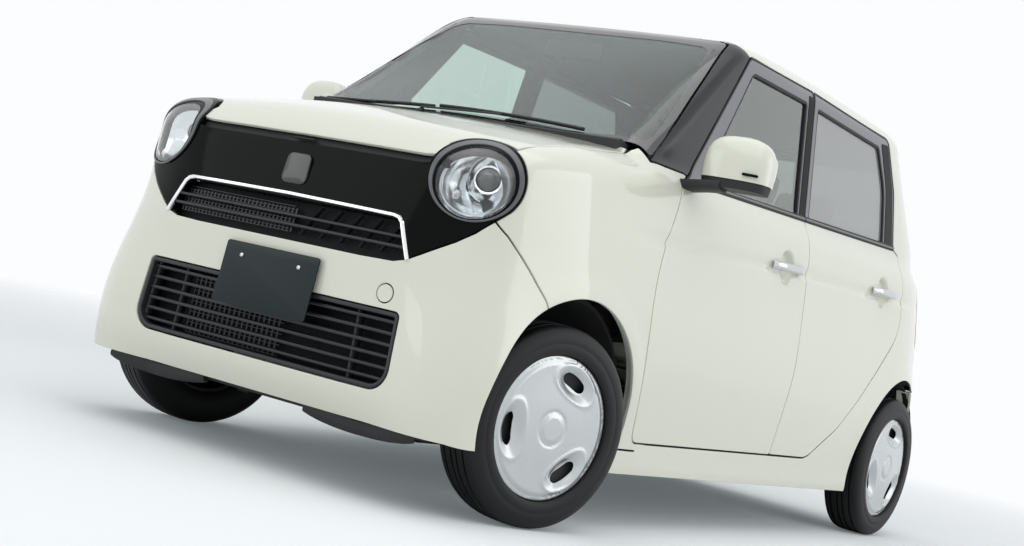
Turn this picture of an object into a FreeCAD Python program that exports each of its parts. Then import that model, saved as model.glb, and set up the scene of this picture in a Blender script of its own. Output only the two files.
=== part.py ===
"""Five-door kei car: body shell, doors, lids, glass, seats, engine, axles, steering and wheels.

Units are millimetres. +X is the car's left, +Y is rearward, +Z is up.
The origin is on the ground at the centre of the car's bounding box.
"""
import FreeCAD
import Part
import math
import os

Vector = FreeCAD.Vector

# ---------------------------------------------------------------- driving dimensions
LENGTH = 3395.0
BODY_WIDTH = 1475.0
HEIGHT = 1610.0
WHEELBASE = 2520.0
FRONT_OVERHANG = 473.5
TRACK = 1305.0
CLEARANCE = 150.0            # ground to the underside of the sills

NOSE_Y = -LENGTH / 2
TAIL_Y = LENGTH / 2
FRONT_AXLE_Y = NOSE_Y + FRONT_OVERHANG
REAR_AXLE_Y = FRONT_AXLE_Y + WHEELBASE
HALF = BODY_WIDTH / 2
WHEEL_X = TRACK / 2
FAR = 3000.0

TYRE_RADIUS = 278.5
TYRE_WIDTH = 157.0
RIM_RADIUS = 178.0           # bead seat
RIM_WIDTH = 127.0
HUB_OFFSET = 45.0            # mounting face outboard of the rim's middle

BUMPER_Z = 190.0             # lower edge of both bumpers
HOOD_FRONT_Z = 912.0         # bonnet's front edge
COWL_Y = FRONT_AXLE_Y + 214     # windscreen's lower edge
COWL_HALF = 580.0
COWL_Z = 1108.0
HEADER_Y = FRONT_AXLE_Y + 832   # windscreen's upper edge
HEADER_Z = HEIGHT - 40
ROOF_REAR_Y = TAIL_Y - 157.5
ROOF_REAR_Z = HEIGHT - 44
ROOF_REAR_EDGE_Y = ROOF_REAR_Y - 40    # roof panel's end, where the tailgate is hinged
ROOF_SEAM_X = 505.0          # seam between roof and body side
BELT_FRONT_Z = 1050.0        # window sill at the mirror
BELT_SLOPE = 0.041           # window sill's rise per millimetre to the rear
BELT_REF_Y = FRONT_AXLE_Y + 565

DOOR_BOTTOM_Z = 262.0
DOOR_FRONT_Y = FRONT_AXLE_Y + 342
DOOR_SPLIT_Y = FRONT_AXLE_Y + 1406
DOOR_REAR_Y = REAR_AXLE_Y - 163
DOOR_TOP_Z = HEIGHT - 74
DOOR_STEP = 18.0             # inner part of a door inside its outer edge
DOOR_SKIN = 40.0             # outer part's thickness
FENDER_REAR_Y = DOOR_FRONT_Y + 55    # front wing's lower rear end
PILLAR_Y = (DOOR_SPLIT_Y - 44, DOOR_SPLIT_Y + 44)    # centre pillar inside the doors
PILLAR_DEPTH = 36.0

FLOOR_Z = 290.0              # top of the cabin floor
FLOOR_UNDER_Z = 190.0
STEP_Y = REAR_AXLE_Y - 536       # front of the raised rear floor
STEP_WALL = 30.0
LOAD_FLOOR_Z = 400.0
LOAD_UNDER_Z = 330.0
FLOOR_HALF = 559.0           # floor's edge at the sills
FIREWALL_Y = FRONT_AXLE_Y + 264
CABIN_REAR_Y = TAIL_Y - 101.5
LOWER_WALL = 105.0           # door and quarter below the belt
UPPER_WALL = 38.0            # window frames, pillars and roof
SKIN = 36.0                  # bonnet, wings, bumpers
GLASS = 5.0
GLASS_DEPTH = 9.0            # glass behind the outer surface

HINGE_IN = 25.0              # door hinge axis inboard of the widest point
HINGE_BACK = 12.0            # and behind the door's front edge
HINGE_Z = (500.0, 752.0)     # lower faces of the hinge leaves
HINGE_LEAF = 12.0
HINGE_PIN = 4.0
HINGE_EYE = 8.0
HINGE_POCKET = 3.0           # clearance round a leaf inside its door

ARCH_RADIUS = 362.0
FRONT_WELL_X = 400.0         # inner end of the front wheel wells
REAR_WELL_X = 470.0

GAP = 5.5                    # round everything that moves
SEAM = 0.6                   # between fixed panels
SEAT = 0.3                   # piece lying on its seat
BEARING = 0.05               # shaft in its bore, on the radius

STEER_REST = -15.4           # front wheels as parked, degrees about +Z
BUFFER_Y = FRONT_AXLE_Y + 44     # bonnet's rubber rests on the strut shelves
KINGPIN_LOW = (605.0, TYRE_RADIUS - 93.5)    # x, z of the lower ball joint
KINGPIN_TOP = (485.0, 800.0)     # x, z of the strut's top mount

LAMP_RADIUS = 100.0
LAMP_RING = 118.0
LAMP_X = 532.0
LAMP_Z = 868.0
LAMP_YAW = 30.0
LAMP_DEPTH = 120.0

TOW_RADIUS = 8.0             # towing eye socket in the front bumper beam
TOW_X = 400.0
TOW_Z = 535.0
TOW_HOLE = 24.0              # round opening in the bumper ahead of it
BEAM_DEPTH = 40.0            # front bumper beam, along the car
BEAM_Y = NOSE_Y + 85
PLATE_BOLT_RADIUS = 3.5      # number plate's screw holes
PLATE_BOLT_X = 105.0
PLATE_BOLT_Z = 550.0

HUB_SHAFT = 22.0
COLUMN_SHAFT = 10.0
STUD_RADIUS = 14.0
STRUT_ROD = 12.0
PIPE_RADIUS = 22.0
LINER = 12.0
ARM_X = 446.0                                      # rear trailing arms
ARM_BOX_X = 345.0                                  # outer face of the front subframe boxes
KINGPIN_LEAN = math.atan2(KINGPIN_LOW[0] - KINGPIN_TOP[0], KINGPIN_TOP[1] - KINGPIN_LOW[1])
WHEEL_AT = Vector(-340, FRONT_AXLE_Y + 784, 950)   # steering wheel's centre
COLUMN_TILT = 28.0
WHEEL_WAY = Vector(0, math.cos(math.radians(COLUMN_TILT)), math.sin(math.radians(COLUMN_TILT)))
STEERING_RADIUS = 182.0
FRONT_SEAT_X = 300.0
FRONT_SEAT_Y = FRONT_AXLE_Y + 994
REAR_SEAT_Y = REAR_AXLE_Y - 736
SEAT_BACK_Z = 1080.0
MIRROR_Y = FRONT_AXLE_Y + 509


# ---------------------------------------------------------------- shape helpers
def inset(corners, depth):
    """Move each side of a closed outline inwards; a negative depth moves it out."""
    area = 0.0
    count = len(corners)
    for i in range(count):
        a, b = corners[i], corners[(i + 1) % count]
        area += a[0] * b[1] - b[0] * a[1]
    turn = 1.0 if area > 0 else -1.0
    moved = []
    for i in range(count):
        p, c, n = corners[i - 1], corners[i], corners[(i + 1) % count]
        d1 = (c[0] - p[0], c[1] - p[1])
        d2 = (n[0] - c[0], n[1] - c[1])
        l1, l2 = math.hypot(*d1), math.hypot(*d2)
        n1 = (-d1[1] / l1 * turn, d1[0] / l1 * turn)
        n2 = (-d2[1] / l2 * turn, d2[0] / l2 * turn)
        dot = n1[0] * n2[0] + n1[1] * n2[1]
        k = depth / (1.0 + dot)
        convex = (d1[0] * d2[1] - d1[1] * d2[0]) * turn > 0
        radius = c[2] - depth if convex else c[2] + depth
        moved.append((c[0] + (n1[0] + n2[0]) * k, c[1] + (n1[1] + n2[1]) * k, max(radius, 0.0)))
    return moved


def face_of(corners, place):
    """A flat face from corners (a, b, radius); place turns (a, b) into a point."""
    edges = []
    count = len(corners)
    starts, ends, arcs = [], [], []
    for i in range(count):
        p, c, n = corners[i - 1], corners[i], corners[(i + 1) % count]
        u = Vector(p[0] - c[0], p[1] - c[1], 0)
        v = Vector(n[0] - c[0], n[1] - c[1], 0)
        bend = u.getAngle(v)
        reach = 0.0
        if c[2] > 0.01 and bend < math.pi - 1e-4:
            reach = c[2] / math.tan(bend / 2)
            reach = min(reach, 0.499 * u.Length, 0.499 * v.Length)
        centre = Vector(c[0], c[1], 0)
        u.normalize()
        v.normalize()
        a = centre + u * reach
        b = centre + v * reach
        starts.append(a)
        ends.append(b)
        if reach > 0.01:
            middle = (u + v).normalize()
            radius = reach * math.tan(bend / 2)
            away = radius / math.sin(bend / 2) - radius
            arcs.append(centre + middle * away)
        else:
            arcs.append(None)
    for i in range(count):
        if arcs[i] is not None:
            edges.append(Part.Arc(place(starts[i]), place(arcs[i]), place(ends[i])).toShape())
        following = starts[(i + 1) % count]
        if (following - ends[i]).Length > 0.01:
            edges.append(Part.LineSegment(place(ends[i]), place(following)).toShape())
    return Part.Face(Part.Wire(edges))


def prism(axis, corners, low, high):
    """Extrude an outline along x (outline in y, z), y (x, z) or z (x, y)."""
    places = {
        "x": lambda p: Vector(low, p.x, p.y),
        "y": lambda p: Vector(p.x, low, p.y),
        "z": lambda p: Vector(p.x, p.y, low),
    }
    ways = {"x": Vector(1, 0, 0), "y": Vector(0, 1, 0), "z": Vector(0, 0, 1)}
    return face_of(corners, places[axis]).extrude(ways[axis] * (high - low))


def box(x, y, z):
    """A block between (low, high) pairs."""
    return Part.makeBox(x[1] - x[0], y[1] - y[0], z[1] - z[0], Vector(x[0], y[0], z[0]))


def rod(start, end, radius):
    """A round bar between two points."""
    a, b = Vector(*start), Vector(*end)
    return Part.makeCylinder(radius, (b - a).Length, a, b - a)


def mirrored(corners):
    """A whole outline from its +X half, listed from bottom to top."""
    return corners + [(-c[0], c[1], c[2]) for c in reversed(corners)]


def flip(shape):
    """The same piece on the car's other side."""
    return shape.mirror(Vector(0, 0, 0), Vector(1, 0, 0))


def join(shapes):
    """Fuse shapes that overlap or share a face."""
    whole = shapes[0]
    for shape in shapes[1:]:
        whole = whole.fuse(shape)
    return whole.removeSplitter()


def block(corner_x, corner_y, corner_z, radius):
    """A block with its upright edges rounded."""
    (x0, x1), (y0, y1), (z0, z1) = corner_x, corner_y, corner_z
    outline = [(x0, y0, radius), (x1, y0, radius), (x1, y1, radius), (x0, y1, radius)]
    return prism("z", outline, z0, z1)


def belt_z(y):
    """Height of the window sill at y."""
    return BELT_FRONT_Z + BELT_SLOPE * (y - BELT_REF_Y)


# ---------------------------------------------------------------- outlines
# Side view: y, z, corner radius.
SIDE = [
    (NOSE_Y + 55, BUMPER_Z, 30),
    (TAIL_Y - 45, BUMPER_Z, 30),
    (TAIL_Y, BUMPER_Z + 72, 60),
    (TAIL_Y, 760, 400),
    (TAIL_Y - 62, 1120, 500),
    (ROOF_REAR_Y, ROOF_REAR_Z, 60),
    (HEADER_Y + 692, HEIGHT + 8, 8000),
    (HEADER_Y, HEADER_Z, 120),
    (COWL_Y, COWL_Z, 30),
    (NOSE_Y + 400, 1066, 1500),
    (NOSE_Y + 140, 1000, 200),
    (NOSE_Y + 48, HOOD_FRONT_Z, 60),
    (NOSE_Y, 640, 200),
    (NOSE_Y, BUMPER_Z + 72, 60),
]
# Cross-section, left half: x, z, corner radius.
CROSS = mirrored([
    (HALF - 36, CLEARANCE, 12),
    (HALF - 31, 240, 60),
    (HALF + 4, 570, 900),
    (HALF - 36, 960, 120),
    (HALF - 48, 1020, 60),
    (HALF - 88, 1088, 30),
    (HALF - 148, 1530, 50),
    (HALF - 205, 1592, 60),
    (150, HEIGHT + 3, 900),
])
# Plan view, left half: x, y, corner radius.
PLAN = mirrored([
    (430, NOSE_Y - 3, 600),
    (655, NOSE_Y + 105, 200),
    (HALF + 4, NOSE_Y + 315, 400),
    (HALF + 4, TAIL_Y - 200, 10),
    (HALF - 60, TAIL_Y - 60, 240),
    (HALF - 240, TAIL_Y, 300),
])
# Cabin's inner faces, in the same three views.
CABIN_SIDE = [
    (FIREWALL_Y, FLOOR_Z, 40),
    (CABIN_REAR_Y, FLOOR_Z, 20),
    (CABIN_REAR_Y, 800, 60),
    (CABIN_REAR_Y - 10, 1110, 60),
    (ROOF_REAR_Y - 46, ROOF_REAR_Z - 40, 60),
    (HEADER_Y + 692, HEIGHT - 30, 8000),
    (HEADER_Y + 22, HEADER_Z - 40, 90),
    (FIREWALL_Y, 1100, 20),
]
CABIN_CROSS = mirrored([
    (HALF - 31 - LOWER_WALL, FLOOR_Z, 30),
    (HALF + 4 - LOWER_WALL, 570, 800),
    (HALF - 36 - LOWER_WALL, 960, 60),
    (HALF - 36 - LOWER_WALL, 1030, 20),
    (HALF - 90 - UPPER_WALL, 1088, 20),
    (HALF - 148 - UPPER_WALL, 1520, 50),
    (HALF - 215 - UPPER_WALL, 1562, 40),
])
CABIN_PLAN = mirrored([
    (HALF - 70, FIREWALL_Y, 20),
    (HALF - 70, CABIN_REAR_Y - 180, 60),
    (HALF - 160, CABIN_REAR_Y, 90),
])
FRONT_DOOR = [
    (DOOR_FRONT_Y + 62, DOOR_BOTTOM_Z, 45),
    (DOOR_SPLIT_Y - GAP / 2, DOOR_BOTTOM_Z + 12, 12),
    (DOOR_SPLIT_Y - GAP / 2, DOOR_TOP_Z + 6, 12),
    (HEADER_Y + 80, DOOR_TOP_Z, 70),
    (DOOR_FRONT_Y + 76, 1064, 30),
    (DOOR_FRONT_Y, 1046, 10),
    (DOOR_FRONT_Y, 560, 500),
]
REAR_DOOR = [
    (DOOR_SPLIT_Y + GAP / 2, DOOR_BOTTOM_Z + 13, 12),
    (REAR_AXLE_Y - 796, DOOR_BOTTOM_Z + 16, 140),
    (REAR_AXLE_Y - 596, 400, 200),
    (REAR_AXLE_Y - 396, 600, 200),
    (DOOR_REAR_Y, 800, 160),
    (DOOR_REAR_Y, 1124, 25),
    (DOOR_REAR_Y - 93, 1340, 150),
    (DOOR_REAR_Y - 208, DOOR_TOP_Z - 4, 40),
    (DOOR_SPLIT_Y + GAP / 2, DOOR_TOP_Z + 6, 12),
]
FRONT_WINDOW = [
    (DOOR_FRONT_Y + 182, belt_z(DOOR_FRONT_Y + 182) + 14, 14),
    (DOOR_SPLIT_Y - 56, belt_z(DOOR_SPLIT_Y - 56) + 14, 10),
    (DOOR_SPLIT_Y - 56, DOOR_TOP_Z - 36, 14),
    (HEADER_Y + 62, DOOR_TOP_Z - 46, 45),
]
REAR_WINDOW = [
    (DOOR_SPLIT_Y + 40, belt_z(DOOR_SPLIT_Y + 40) + 14, 10),
    (DOOR_REAR_Y - 175, belt_z(DOOR_REAR_Y - 175) + 14, 14),
    (DOOR_REAR_Y - 203, 1332, 200),
    (DOOR_REAR_Y - 301, DOOR_TOP_Z - 40, 30),
    (DOOR_SPLIT_Y + 40, DOOR_TOP_Z - 34, 10),
]
# Windscreen from the front: x, z, corner radius.
SCREEN = mirrored([
    (596, COWL_Z + 6, 40),
    (528, HEADER_Z + 20, 20),
])
# Tailgate and its window from behind: x, z, corner radius.
TAILGATE = mirrored([
    (560, 470, 40),
    (600, 640, 60),
    (590, 1090, 300),
    (ROOF_SEAM_X - 2, ROOF_REAR_Z - 10, 20),
    (ROOF_SEAM_X - 12, ROOF_REAR_Z + 90, 1),
])
TAILGATE_WINDOW = mirrored([
    (500, 1110, 50),
    (440, 1480, 60),
])
TAIL_LAMP = [
    (606, 760, 10),
    (760, 760, 10),
    (760, 1085, 10),
    (600, 1085, 10),
]
# Gloss panel that joins the headlamps, from the front.
MASK = mirrored([
    (452, 628, 30),
    (600, 752, 90),
    (668, 860, 110),
    (600, 1010, 110),
    (420, HOOD_FRONT_Z + 6, 80),
])
UPPER_GRILLE = mirrored([
    (430, 642, 12),
    (392, 728, 20),
])
LOWER_GRILLE = mirrored([
    (470, 288, 60),
    (458, 493, 16),
])
# Bonnet from above: x, y, corner radius.
BONNET = mirrored([
    (396, NOSE_Y - 20, 10),
    (410, NOSE_Y + 110, 80),
    (600, NOSE_Y + 150, 60),
    (652, COWL_Y - 30, 30),
])
# Front bumper's rear edge, in side view.
BUMPER_SIDE = [
    (NOSE_Y - 50, 0, 1),
    (FRONT_AXLE_Y, 0, 1),
    (FRONT_AXLE_Y, 560, 1),
    (FRONT_AXLE_Y - 215, 616, 10),
    (NOSE_Y + 105, 800, 60),
    (NOSE_Y - 50, 800, 1),
]


# ---------------------------------------------------------------- body volumes
def envelope(depth):
    """The car's outer shape without mirrors and wheels, moved in by depth."""
    side = prism("x", inset(SIDE, depth), -FAR, FAR)
    cross = prism("y", inset(CROSS, depth), -FAR, FAR)
    plan = prism("z", inset(PLAN, depth), -FAR, FAR)
    return side.common(cross).common(plan)


def sill_block():
    """Sills hang below the bumpers' lower edge between the wheels."""
    y = (FRONT_AXLE_Y + ARCH_RADIUS - 10, REAR_AXLE_Y - ARCH_RADIUS + 10)
    cross = prism("y", CROSS, y[0], y[1])
    return cross.common(box((-FAR, FAR), (-FAR, FAR), (0, 300)))


def wells(radius_change, end_change):
    """Four wheel wells, with their radius and inner ends moved."""
    shapes = []
    for y, inner in ((FRONT_AXLE_Y, FRONT_WELL_X), (REAR_AXLE_Y, REAR_WELL_X)):
        start = inner - end_change
        well = rod((start, y, TYRE_RADIUS), (HALF + 60, y, TYRE_RADIUS), ARCH_RADIUS + radius_change)
        shapes.append(well)
        shapes.append(flip(well))
    return shapes


def cabin(depth):
    """The space inside the cabin walls, moved in by depth."""
    side = prism("x", inset(CABIN_SIDE, depth), -FAR, FAR)
    cross = prism("y", inset(CABIN_CROSS, depth), -FAR, FAR)
    plan = prism("z", inset(CABIN_PLAN, depth), -FAR, FAR)
    return side.common(cross).common(plan)


OUTER = envelope(0).fuse(sill_block()).removeSplitter()
NOSE_INNER = envelope(SKIN)
CABIN = cabin(0)
WELLS = wells(0, 0)
WALL = OUTER.cut(CABIN).cut(Part.makeCompound(WELLS))
DOOR_OUTER = OUTER.cut(envelope(DOOR_SKIN))
FENDER_SHELL = OUTER.cut(NOSE_INNER).cut(Part.makeCompound(WELLS))
NOSE = FENDER_SHELL.common(box((-FAR, FAR), (-FAR, COWL_Y + 120), (BUMPER_Z - 60, FAR)))


def lamp_axis():
    """A point on the left headlamp's axis and its outward direction."""
    yaw = math.radians(LAMP_YAW)
    return Vector(LAMP_X, NOSE_Y + 120, LAMP_Z), Vector(math.sin(yaw), -math.cos(yaw), 0.12)


def lamp_bore(radius, depth=400.0):
    """A round cut through the nose along the headlamp's axis."""
    point, way = lamp_axis()
    return Part.makeCylinder(radius, depth + 200, point - way * depth, way)


# ---------------------------------------------------------------- fixed body
def make_underbody():
    """Floor, step, load floor, firewall and front frame, seated on one another."""
    x = (-FLOOR_HALF, FLOOR_HALF)
    firewall_front = FIREWALL_Y - 25
    load_end = CABIN_REAR_Y - 6
    behind_skin = envelope(SKIN + SEAT)
    wheel_wells = Part.makeCompound(WELLS)
    floor = box(x, (firewall_front, STEP_Y + STEP_WALL), (FLOOR_UNDER_Z, FLOOR_Z))
    step = box(x, (STEP_Y, STEP_Y + STEP_WALL), (FLOOR_Z + SEAT, LOAD_UNDER_Z - SEAT))
    load_floor = join([
        box(x, (STEP_Y, load_end), (LOAD_UNDER_Z, LOAD_FLOOR_Z)),
        box(x, (load_end - 54, load_end), (LOAD_UNDER_Z, 456)),
        box((-40, 40), (CABIN_REAR_Y - 30, CABIN_REAR_Y - SEAT), (440, 520)),
    ])
    firewall = box(x, (firewall_front, FIREWALL_Y), (FLOOR_Z + SEAT, 1030))
    frame = [box((-600, 600), (BEAM_Y, BEAM_Y + BEAM_DEPTH), (420, 600)).common(behind_skin)]
    frame_end = firewall_front - SEAT
    for sign in (1, -1):
        top = KINGPIN_TOP[1]
        rail_x = sorted((sign * 325, sign * 390))
        shelf_x = sorted((sign * 330, sign * 560))
        arm_x = sorted((sign * 300, sign * ARM_BOX_X))
        frame += [
            box(rail_x, (BEAM_Y + 10, frame_end), (420, 500)),
            rod((sign * KINGPIN_TOP[0], FRONT_AXLE_Y, top + SEAT),
                (sign * KINGPIN_TOP[0], FRONT_AXLE_Y, top + 40), 75),
            box(shelf_x, (FRONT_AXLE_Y - 75, frame_end), (top + 10, top + 40)),
            box(rail_x, (FRONT_AXLE_Y - 75, FRONT_AXLE_Y + 75), (480, top + 40)),
            box(arm_x, (FRONT_AXLE_Y - 110, frame_end), (CLEARANCE, 430)),
        ]
    frame = join(frame).cut(wheel_wells)
    buffers = [rod((x, BUFFER_Y, KINGPIN_TOP[1] + 20), (x, BUFFER_Y, HEIGHT), 12) for x in (-400, 400)]
    buffers = Part.makeCompound(buffers).common(behind_skin)
    frame = join([frame] + buffers.Solids)
    socket = rod((TOW_X, BEAM_Y - 1, TOW_Z), (TOW_X, BEAM_Y + BEAM_DEPTH + 1, TOW_Z), TOW_RADIUS)
    pressings = [floor.cut(wheel_wells), step, load_floor.cut(wheel_wells), firewall.cut(wheel_wells)]
    return Part.makeCompound([biggest(piece) for piece in pressings] + [biggest(frame.cut(socket))])


def make_body_side():
    """Left sill, pillars, roof rail and rear quarter in one pressing, with the door openings cut."""
    zone = [
        (FENDER_REAR_Y + SEAM, 100, 1),
        (TAIL_Y + 60, 100, 1),
        (TAIL_Y + 60, FAR, 1),
        (HEADER_Y - 60, FAR, 1),
        (COWL_Y + 6, COWL_Z + 20, 1),
        (COWL_Y + 6, 1052, 1),
        (FENDER_REAR_Y + SEAM, 1052, 1),
    ]
    side = WALL.common(prism("x", zone, ROOF_SEAM_X, HALF + 80))
    side = side.cut(box((0, FLOOR_HALF + SEAM), (-FAR, FAR), (0, FLOOR_Z + 20)))
    side = side.cut(box((0, COWL_HALF + SEAM), (-FAR, FIREWALL_Y), (0, FAR)))
    post = WALL.common(envelope(SKIN + SEAM)).common(
        box((COWL_HALF + SEAM, FAR), (FIREWALL_Y - 25, FENDER_REAR_Y + 20), (CLEARANCE + 10, 1053)))
    side = biggest(side).fuse(biggest(post))
    side = side.cut(prism("x", inset(FRONT_DOOR, -GAP), 0, FAR))
    side = side.cut(prism("x", inset(REAR_DOOR, -GAP), 0, FAR))
    side = side.cut(prism("y", SCREEN, -FAR, HEADER_Y + SEAT))
    side = side.cut(prism("y", inset(TAILGATE, -GAP), ROOF_REAR_EDGE_Y, FAR))
    side = side.cut(prism("y", inset(TAIL_LAMP, -SEAM), REAR_AXLE_Y + 60, FAR))
    side = side.cut(box((0, FAR), (REAR_AXLE_Y + 40, FAR), (0, 600 + SEAM)))
    pieces = [biggest(side), make_centre_pillar()]
    pieces += [hinge_leaf(z, front) for z in HINGE_Z for front in (True, False)]
    return join(pieces)


def hinge_point(front):
    """Plan position of a left door's hinge axis."""
    edge = DOOR_FRONT_Y if front else DOOR_SPLIT_Y + GAP / 2
    return HALF - HINGE_IN, edge + HINGE_BACK


def hinge_leaf(z, front):
    """A fixed hinge leaf with its eye and pin, reaching from the pillar into the door."""
    x, y = hinge_point(front)
    eye = rod((x, y, z), (x, y, z + HINGE_LEAF), HINGE_EYE)
    pin = rod((x, y, z - 12), (x, y, z + HINGE_LEAF + 12), HINGE_PIN)
    if front:
        plan = [(x, y - HINGE_EYE, 1), (x, y + 2, 1), (x - 30, y + 2, 1), (x - 60, y - 24, 1),
                (x - 60, y - 38, 1), (x - 30, y - HINGE_EYE, 1)]
    else:
        plan = [(x, y - HINGE_EYE, 1), (x, y + HINGE_EYE, 1), (x - 50, y + HINGE_EYE, 1), (x - 50, y - HINGE_EYE, 1)]
    return join([eye, pin, prism("z", plan, z, z + HINGE_LEAF)])


def hinge_pocket(z, front):
    """What a door gives up for one hinge leaf and its pin."""
    x, y = hinge_point(front)
    low, high = z - HINGE_POCKET, z + HINGE_LEAF + HINGE_POCKET
    reach = HINGE_EYE + HINGE_POCKET
    round_eye = rod((x, y, low), (x, y, high), reach)
    bore = rod((x, y, z - 30), (x, y, z + HINGE_LEAF + 30), HINGE_PIN + BEARING)
    way_in = box((x - 60, x), (y - 40, y + (2 if front else reach)), (low, high))
    edge = box((x - 60, x + reach), (y - 40, y), (low, high))
    return join([round_eye, way_in, edge]).fuse(bore)


def make_centre_pillar():
    """Left centre pillar, inboard of the doors, with the web between them that carries the hinges."""
    y0, y1 = PILLAR_Y
    web_half = DOOR_STEP + GAP / 2 - GAP
    web = OUTER.common(envelope(DOOR_SKIN + GAP)).common(
        box((ROOF_SEAM_X + SEAM, FAR), (DOOR_SPLIT_Y - web_half, DOOR_SPLIT_Y + web_half), (FLOOR_Z, 1020)))
    web = web.cut(cabin(GAP + 2))
    post = cabin(GAP + 1).cut(cabin(GAP + 1 + PILLAR_DEPTH))
    post = post.common(box((ROOF_SEAM_X + SEAM, FAR), (y0, y1), (FLOOR_Z + 10, 1552)))
    head = CABIN.cut(cabin(GAP + 1 + PILLAR_DEPTH))
    head = head.common(box((ROOF_SEAM_X + SEAM, FAR), (y0, y1), (1549, FAR)))
    door_inner = HALF - 31 - LOWER_WALL - GAP
    upstand = box((FLOOR_HALF + SEAM, door_inner - 1), (FENDER_REAR_Y + 40, REAR_AXLE_Y - ARCH_RADIUS - 20),
                  (FLOOR_UNDER_Z, FLOOR_Z + 20))
    return join([post, head, upstand, web])


def biggest(shape):
    """The largest solid of a cut, without its slivers."""
    return max(shape.Solids, key=lambda solid: solid.Volume)


def make_roof():
    """Roof panel with its lining, between the body sides."""
    x = ROOF_SEAM_X - SEAM
    return biggest(WALL.common(box((-x, x), (HEADER_Y, ROOF_REAR_EDGE_Y), (1400, FAR))))


def edge_relief(front):
    """A round clearance about a hinge axis for the swing of the door's front corner."""
    x, y = hinge_point(front)
    return rod((x, y, 0), (x, y, 1045), math.hypot(HINGE_IN, GAP + HINGE_BACK))


def make_fender():
    """Left front wing with its arch."""
    wing = FENDER_SHELL.common(box((300, FAR), (-FAR, FENDER_REAR_Y), (CLEARANCE, FAR)))
    wing = wing.cut(prism("x", inset(FRONT_DOOR, -GAP), 0, FAR))
    wing = wing.cut(edge_relief(True)).cut(lamp_bore(LAMP_RADIUS))
    wing = wing.cut(prism("x", inset(BUMPER_SIDE, -SEAM), 0, FAR))
    wing = wing.cut(prism("y", inset(MASK, -SEAM), -FAR, NOSE_Y + 330))
    wing = wing.cut(prism("z", inset(BONNET, -GAP), HOOD_FRONT_Z - 60, FAR))
    wing = wing.cut(box((0, FAR), (COWL_Y - 30, FAR), (1051, FAR)))
    wing = wing.cut(box((0, 600), (-FAR, FAR), (0, HOOD_FRONT_Z - 40)))
    return biggest(wing)


def make_bonnet():
    """Bonnet from the nose to the cowl."""
    lid = NOSE.common(prism("z", BONNET, HOOD_FRONT_Z + GAP, FAR))
    for bore in (lamp_bore(LAMP_RING + GAP), flip(lamp_bore(LAMP_RING + GAP))):
        lid = lid.cut(bore)
    return biggest(lid)


def make_front_bumper():
    """Front bumper skin, open at the lower grille."""
    skin = NOSE.common(prism("x", BUMPER_SIDE, -FAR, FAR))
    skin = skin.cut(prism("y", inset(MASK, -SEAM), -FAR, FRONT_AXLE_Y))
    skin = skin.cut(prism("y", LOWER_GRILLE, -FAR, FRONT_AXLE_Y))
    skin = skin.cut(box((-600, 600), (NOSE_Y + 200, FAR), (0, FAR)))
    for sign in (1, -1):
        at = sign * PLATE_BOLT_X
        skin = skin.cut(rod((at, NOSE_Y - 20, PLATE_BOLT_Z), (at, NOSE_Y + 60, PLATE_BOLT_Z), PLATE_BOLT_RADIUS))
    skin = skin.cut(rod((TOW_X, NOSE_Y - 20, TOW_Z), (TOW_X, BEAM_Y - 1, TOW_Z), TOW_HOLE))
    return biggest(skin)


def make_nose_mask():
    """Gloss panel between and round the headlamps."""
    skin = NOSE.common(prism("y", MASK, -FAR, NOSE_Y + 300))
    skin = skin.cut(prism("z", inset(BONNET, -GAP), HOOD_FRONT_Z - 2, FAR))
    skin = skin.cut(prism("y", UPPER_GRILLE, -FAR, FRONT_AXLE_Y))
    for bore in (lamp_bore(LAMP_RADIUS), flip(lamp_bore(LAMP_RADIUS))):
        skin = skin.cut(bore)
    return biggest(skin)


def make_grilles():
    """Upper and lower grille, each a slab with slots between its bars."""
    slab = envelope(14).cut(envelope(30))
    grilles = []
    for outline, pitch, slot in ((UPPER_GRILLE, 29.0, 17.0), (LOWER_GRILLE, 51.0, 33.0)):
        grille = slab.common(prism("y", inset(outline, SEAT), -FAR, NOSE_Y + 200))
        low = min(c[1] for c in outline)
        high = max(c[1] for c in outline)
        reach = min(c[0] for c in outline if c[0] > 0) - 40
        z = low + 14
        while z + slot < high - 8:
            for x in ((-reach, -12), (12, reach)):
                grille = grille.cut(box(x, (-FAR, NOSE_Y + 220), (z, z + slot)))
            z += pitch
        grilles.append(biggest(grille))
    return Part.makeCompound(grilles)


def make_headlamps():
    """Two round lamps trimmed flush with the nose."""
    point, way = lamp_axis()
    lamp = Part.makeCylinder(LAMP_RADIUS - SEAT, LAMP_DEPTH + 200, point - way * LAMP_DEPTH, way)
    lamp = biggest(lamp.common(OUTER))
    return Part.makeCompound([lamp, flip(lamp)])


def make_windscreen():
    """Windscreen glass."""
    zone = prism("y", inset(SCREEN, SEAT), COWL_Y, HEADER_Y - SEAT)
    return biggest(OUTER.cut(envelope(6)).common(zone))


def make_cowl():
    """Plastic panel below the windscreen."""
    zone = [
        (COWL_Y - 22, 1034, 1),
        (FIREWALL_Y - SEAM, 1034, 1),
        (FIREWALL_Y - SEAM, 1100, 1),
        (COWL_Y + 5, COWL_Z + 4, 1),
        (COWL_Y - 22, COWL_Z + 20, 1),
    ]
    bar = prism("x", zone, -COWL_HALF, COWL_HALF).common(OUTER)
    return biggest(bar)


def make_rear_bumper():
    """Rear bumper with its side returns."""
    skin = OUTER.cut(envelope(60)).cut(Part.makeCompound(wells(0, 0)))
    skin = skin.common(box((-FAR, FAR), (REAR_AXLE_Y + 60, FAR), (0, 600)))
    skin = skin.cut(box((-640, 640), (-FAR, TAIL_Y - 105), (0, FAR)))
    skin = skin.cut(prism("y", inset(TAILGATE, -GAP), REAR_AXLE_Y, FAR))
    return biggest(skin)


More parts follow.
